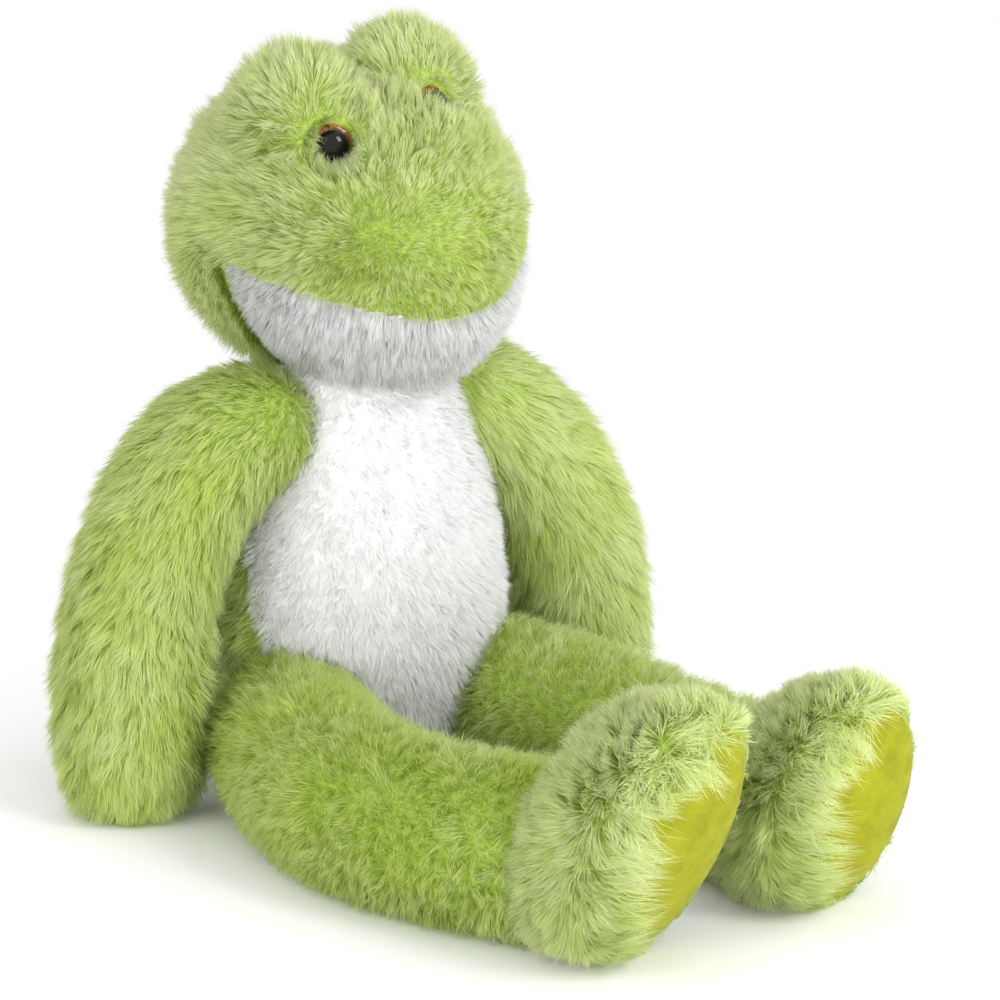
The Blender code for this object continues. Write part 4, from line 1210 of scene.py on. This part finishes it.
for side, salt, count in (("right", 51, 58000), ("left", 52, 49000)):
    points, normals, on_sole = foot_roots(side, count, salt)
    axes = foot_frame(side)[:3, :3].T
    local = to_foot(points, side)
    spread = local * (1 / FOOT_HALF_WIDTH, 1 / FOOT_HALF_LENGTH[side], 0)
    around = unit(spread)  # from the sole's middle outward, in its plane
    left, up, behind = around[:, :1], around[:, 1:2], -local[:, 2:]
    edge = np.clip(1 - behind / EDGE_REACH, 0, 1)  # 1 at the sole's edge
    covered = np.clip(0.75 - 0.9 * left + 0.4 * np.minimum(up, 0), 0, 1)  # 1 where the pile laps over
    lapping, toe = edge * covered, np.clip(1.3 * up, 0, 1)
    flat = np.clip(1.6 - behind / 0.022, 0, 1) * (1 - covered)  # 1 on the smooth side
    turned = lapping * (0, 0, 1)
    outer = np.clip(5 * np.linalg.norm(spread, axis=1, keepdims=True) - 4, 0, 1)
    turned[on_sole] = (around * outer)[on_sole]
    normals = unit(normals + 0.8 * turned @ axes)
    depth = FOOT_DEPTH * (WHORL_DEPTH[side] + 0.25 * np.clip((local[:, 1:2] - WHORL_RISE) / 0.040, 0, 1))
    rim = np.clip(1 - behind / (0.9 * depth), 0, 1)  # 0 at the whorl and 1 at the sole
    whorl = np.hstack([local[:, :1] * 0.8, np.full_like(depth, WHORL_RISE), -depth])
    inward = -around * (0.45 * lapping * (1 - 0.6 * toe))
    forward = rim * covered * (1 - 0.75 * toe) * (0, 0, 1.2)
    comb = away_from(local, whorl) * (1 - rim) + forward + 1.4 * inward
    comb = (0.85 * comb * (1 - flat) + flat * (0, 0, -1.2)) @ axes
    length = (SIDE_LENGTH + (FRINGE_LENGTH[side] - SIDE_LENGTH) * lapping) * (1 - 0.4 * flat)
    length = length[:, 0] * np.clip(0.45 + points[:, 2] / 0.02, 0.45, 1)  # shorter by the floor
    stand = (0.55 - 0.25 * lapping - 0.45 * flat)[:, 0]
    # Higher up the foot the pile is paler: painted light from above.
    tint = 0.50 + 0.26 * patches(points, 0.03, salt) + 0.14 * np.clip(points[:, 2] / 0.08, 0, 1)
    keep = (edge * (1 - covered))[:, 0] < 0.70  # the smooth side's edge of the sole stays bare
    grow(f"foot_pile_{side}", f"leg_{side}", "leg_green_fur", points[keep], normals[keep], comb[keep],
         length[keep], stand[keep], tint[keep], salt, tuft=0.0034, pull=0.24, ruffle=0.75,
         tilt=0.6 + flat[keep, 0], bend=(inward @ axes)[keep])

# %% [markdown]
# ## Soles
# The soles are short-napped suede cloth, domed by the stuffing behind them. Suede is matte and mottled,
# because the nap lies in different directions, and here it is paler towards its edge. Two noises at the
# real size of nap and grain give that, and the rim comes from a map, because it follows the cut edge.


# %% Suede soles
def suede_material():
    """Suede cloth: nap patches about 8 mm wide, grain of 0.5 mm, a paler rim from the map, and sheen."""
    made, tree, output = empty_material("olive_suede_cloth")
    place = node(tree, "ShaderNodeTexCoord").outputs["Object"]
    nap = node(tree, "ShaderNodeTexNoise", {"Vector": place, "Scale": 130.0, "Detail": 4.0, "Roughness": 0.6})
    grain = node(tree, "ShaderNodeTexNoise", {"Vector": place, "Scale": 1900.0, "Detail": 2.0})
    base = ramp(tree, nap.outputs["Fac"], ((0.30, "#73760f"), (0.48, "#848713"), (0.70, "#909219")))
    speck = ramp(tree, grain.outputs["Fac"], ((0.35, "#75770f"), (0.60, "#a2a322")))
    cloth = node(tree, "ShaderNodeMix", {0: 0.22, 6: base, 7: speck}, data_type="RGBA").outputs[2]
    uv = node(tree, "ShaderNodeUVMap", uv_map="sole")
    edge = node(tree, "ShaderNodeSeparateXYZ", {0: uv.outputs["UV"]})
    paler_rim = node(tree, "ShaderNodeMapRange", {0: edge.outputs["Y"], 1: 0.86, 2: 1.0, 3: 0.0, 4: 0.55})
    tones = {0: paler_rim.outputs[0], 6: cloth, 7: linear("#b0ae4c")}
    colour = node(tree, "ShaderNodeMix", tones, data_type="RGBA").outputs[2]
    relief = {"Height": grain.outputs["Fac"], "Strength": 0.35, "Distance": 0.0004}
    bump = node(tree, "ShaderNodeBump", relief)
    shader = node(tree, "ShaderNodeBsdfPrincipled", {"Base Color": colour, "Normal": bump.outputs[0]})
    shader.inputs["Roughness"].default_value = 0.88
    shader.inputs["Specular IOR Level"].default_value = 0.15
    shader.inputs["Sheen Weight"].default_value = 0.05
    shader.inputs["Sheen Roughness"].default_value = 0.5
    tree.links.new(shader.outputs[0], output.inputs["Surface"])
    return made


def grid_map(thing, name, along, around):
    """A UV map from the grid: the share of the turn, and that of the way from its first row to its last."""
    rows, turns = np.meshgrid(np.linspace(0, 1, along), np.linspace(0, 1, around), indexing="ij")
    shares = np.stack([turns, rows], -1).reshape(-1, 2)
    corner = np.empty(len(thing.data.loops), np.int32)
    thing.data.loops.foreach_get("vertex_index", corner)
    thing.data.uv_layers.new(name=name).uv.foreach_set("vector", shares[corner].astype(np.float32).ravel())


suede = suede_material()
for side in HIPS:
    grid = sole_grids[side][:, ::2]
    sole = skin(f"sole_cloth_{side}", grid, suede, f"leg_{side}", [f"sole_{side}"],
                wall=0.0014)
    grid_map(sole, "sole", *grid.shape[:2])
    print(sole.name, "has", len(sole.data.polygons), "faces")

# %% [markdown]
# ## Eyes
# Each eye is moulded plastic: a domed black button on an amber disc, both polished. The disc has fine
# radial streaks under its gloss and a dark rim. Both are round, so a profile turned about the eye's axis
# makes them, down to the button's shank.


# %% Eye finishes
def gloss_black():
    """Polished black plastic: no colour of its own, only a clear reflection."""
    made, tree, output = empty_material("polished_black_plastic")
    place = node(tree, "ShaderNodeTexCoord").outputs["Object"]
    haze = node(tree, "ShaderNodeTexNoise", {"Vector": place, "Scale": 900.0, "Detail": 2.0})
    rough = node(tree, "ShaderNodeMapRange", {0: haze.outputs["Fac"], 3: 0.02, 4: 0.05})
    black = {"Base Color": linear("#030303"), "Roughness": rough.outputs[0]}
    shader = node(tree, "ShaderNodeBsdfPrincipled", black)
    shader.inputs["IOR"].default_value = 1.43
    tree.links.new(shader.outputs[0], output.inputs["Surface"])
    return made


def gloss_amber():
    """Amber plastic: streaks round the disc from the map's angle, darker at the rim and under the button."""
    made, tree, output = empty_material("polished_amber_plastic")
    uv = node(tree, "ShaderNodeUVMap", uv_map="disc")
    stretched = node(tree, "ShaderNodeMapping", {"Vector": uv.outputs["UV"], "Scale": (34.0, 3.0, 1.0)})
    streaks = node(tree, "ShaderNodeTexNoise", {"Vector": stretched.outputs[0], "Scale": 1.0, "Detail": 3.0})
    amber = ramp(tree, streaks.outputs["Fac"], ((0.34, "#2c1a0a"), (0.46, "#6e4216"), (0.66, "#a86c26")))
    share = node(tree, "ShaderNodeSeparateXYZ", {0: uv.outputs["UV"]})
    edges = ((0.0, "#1a1008"), (0.42, "#ffffff"), (0.84, "#ffffff"), (1.0, "#2a1c10"))
    rim = ramp(tree, share.outputs["Y"], edges)
    tones = {0: 1.0, 6: amber, 7: rim}
    colour = node(tree, "ShaderNodeMix", tones, data_type="RGBA", blend_type="MULTIPLY").outputs[2]
    shader = node(tree, "ShaderNodeBsdfPrincipled", {"Base Color": colour})
    shader.inputs["Roughness"].default_value = 0.12
    shader.inputs["Coat Weight"].default_value = 0.5
    tree.links.new(shader.outputs[0], output.inputs["Surface"])
    return made


black_plastic = gloss_black()
amber_plastic = gloss_amber()
print("eye finishes:", black_plastic.name, "and", amber_plastic.name)


# %% Eye meshes
AROUND_EYE = 64


def turned_piece(name, profile, side, material, nodes, map_name):
    """A (radius, height) profile turned about the eye's axis, one grid row to each profile point."""
    seat, axis = EYES[side]
    across = unit(np.cross(axis, (0, 0, 1)))
    up = np.cross(across, axis)
    angle = np.linspace(0, 2 * np.pi, AROUND_EYE, endpoint=False)[None, :, None]
    radius, height = np.array(profile).T[..., None, None]
    grid = seat + height * axis + radius * (np.cos(angle) * across + np.sin(angle) * up)
    made = grid_mesh(name, grid, material)
    grid_map(made, map_name, len(profile), AROUND_EYE)
    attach(made, "head")
    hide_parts(*nodes)


dome = np.linspace(0, np.pi / 2, 24)
button = [(0.0056 * math.sin(a), 0.0024 + 0.0034 * math.cos(a)) for a in dome]
button += [(0.0054, 0.0022), (0.0024, 0.0022), (0.0023, -0.0080), (0.0, -0.0080)]
disc = [(0.0026, 0.0021), (0.0056, 0.0021), (0.0064, 0.00195), (0.0070, 0.0016), (0.0074, 0.0011)]
disc += [(0.0074, 0.0003), (0.0026, 0.0003), (0.0026, 0.0021)]
for side in EYES:
    turned_piece(f"eye_dome_{side}", button, side, black_plastic, [f"eye_button_{side}"],
                 "dome")
    turned_piece(f"eye_disc_{side}", disc, side, amber_plastic, [f"eye_iris_{side}", f"eye_washer_{side}"],
                 "disc")
print("eyes:", len(EYES))
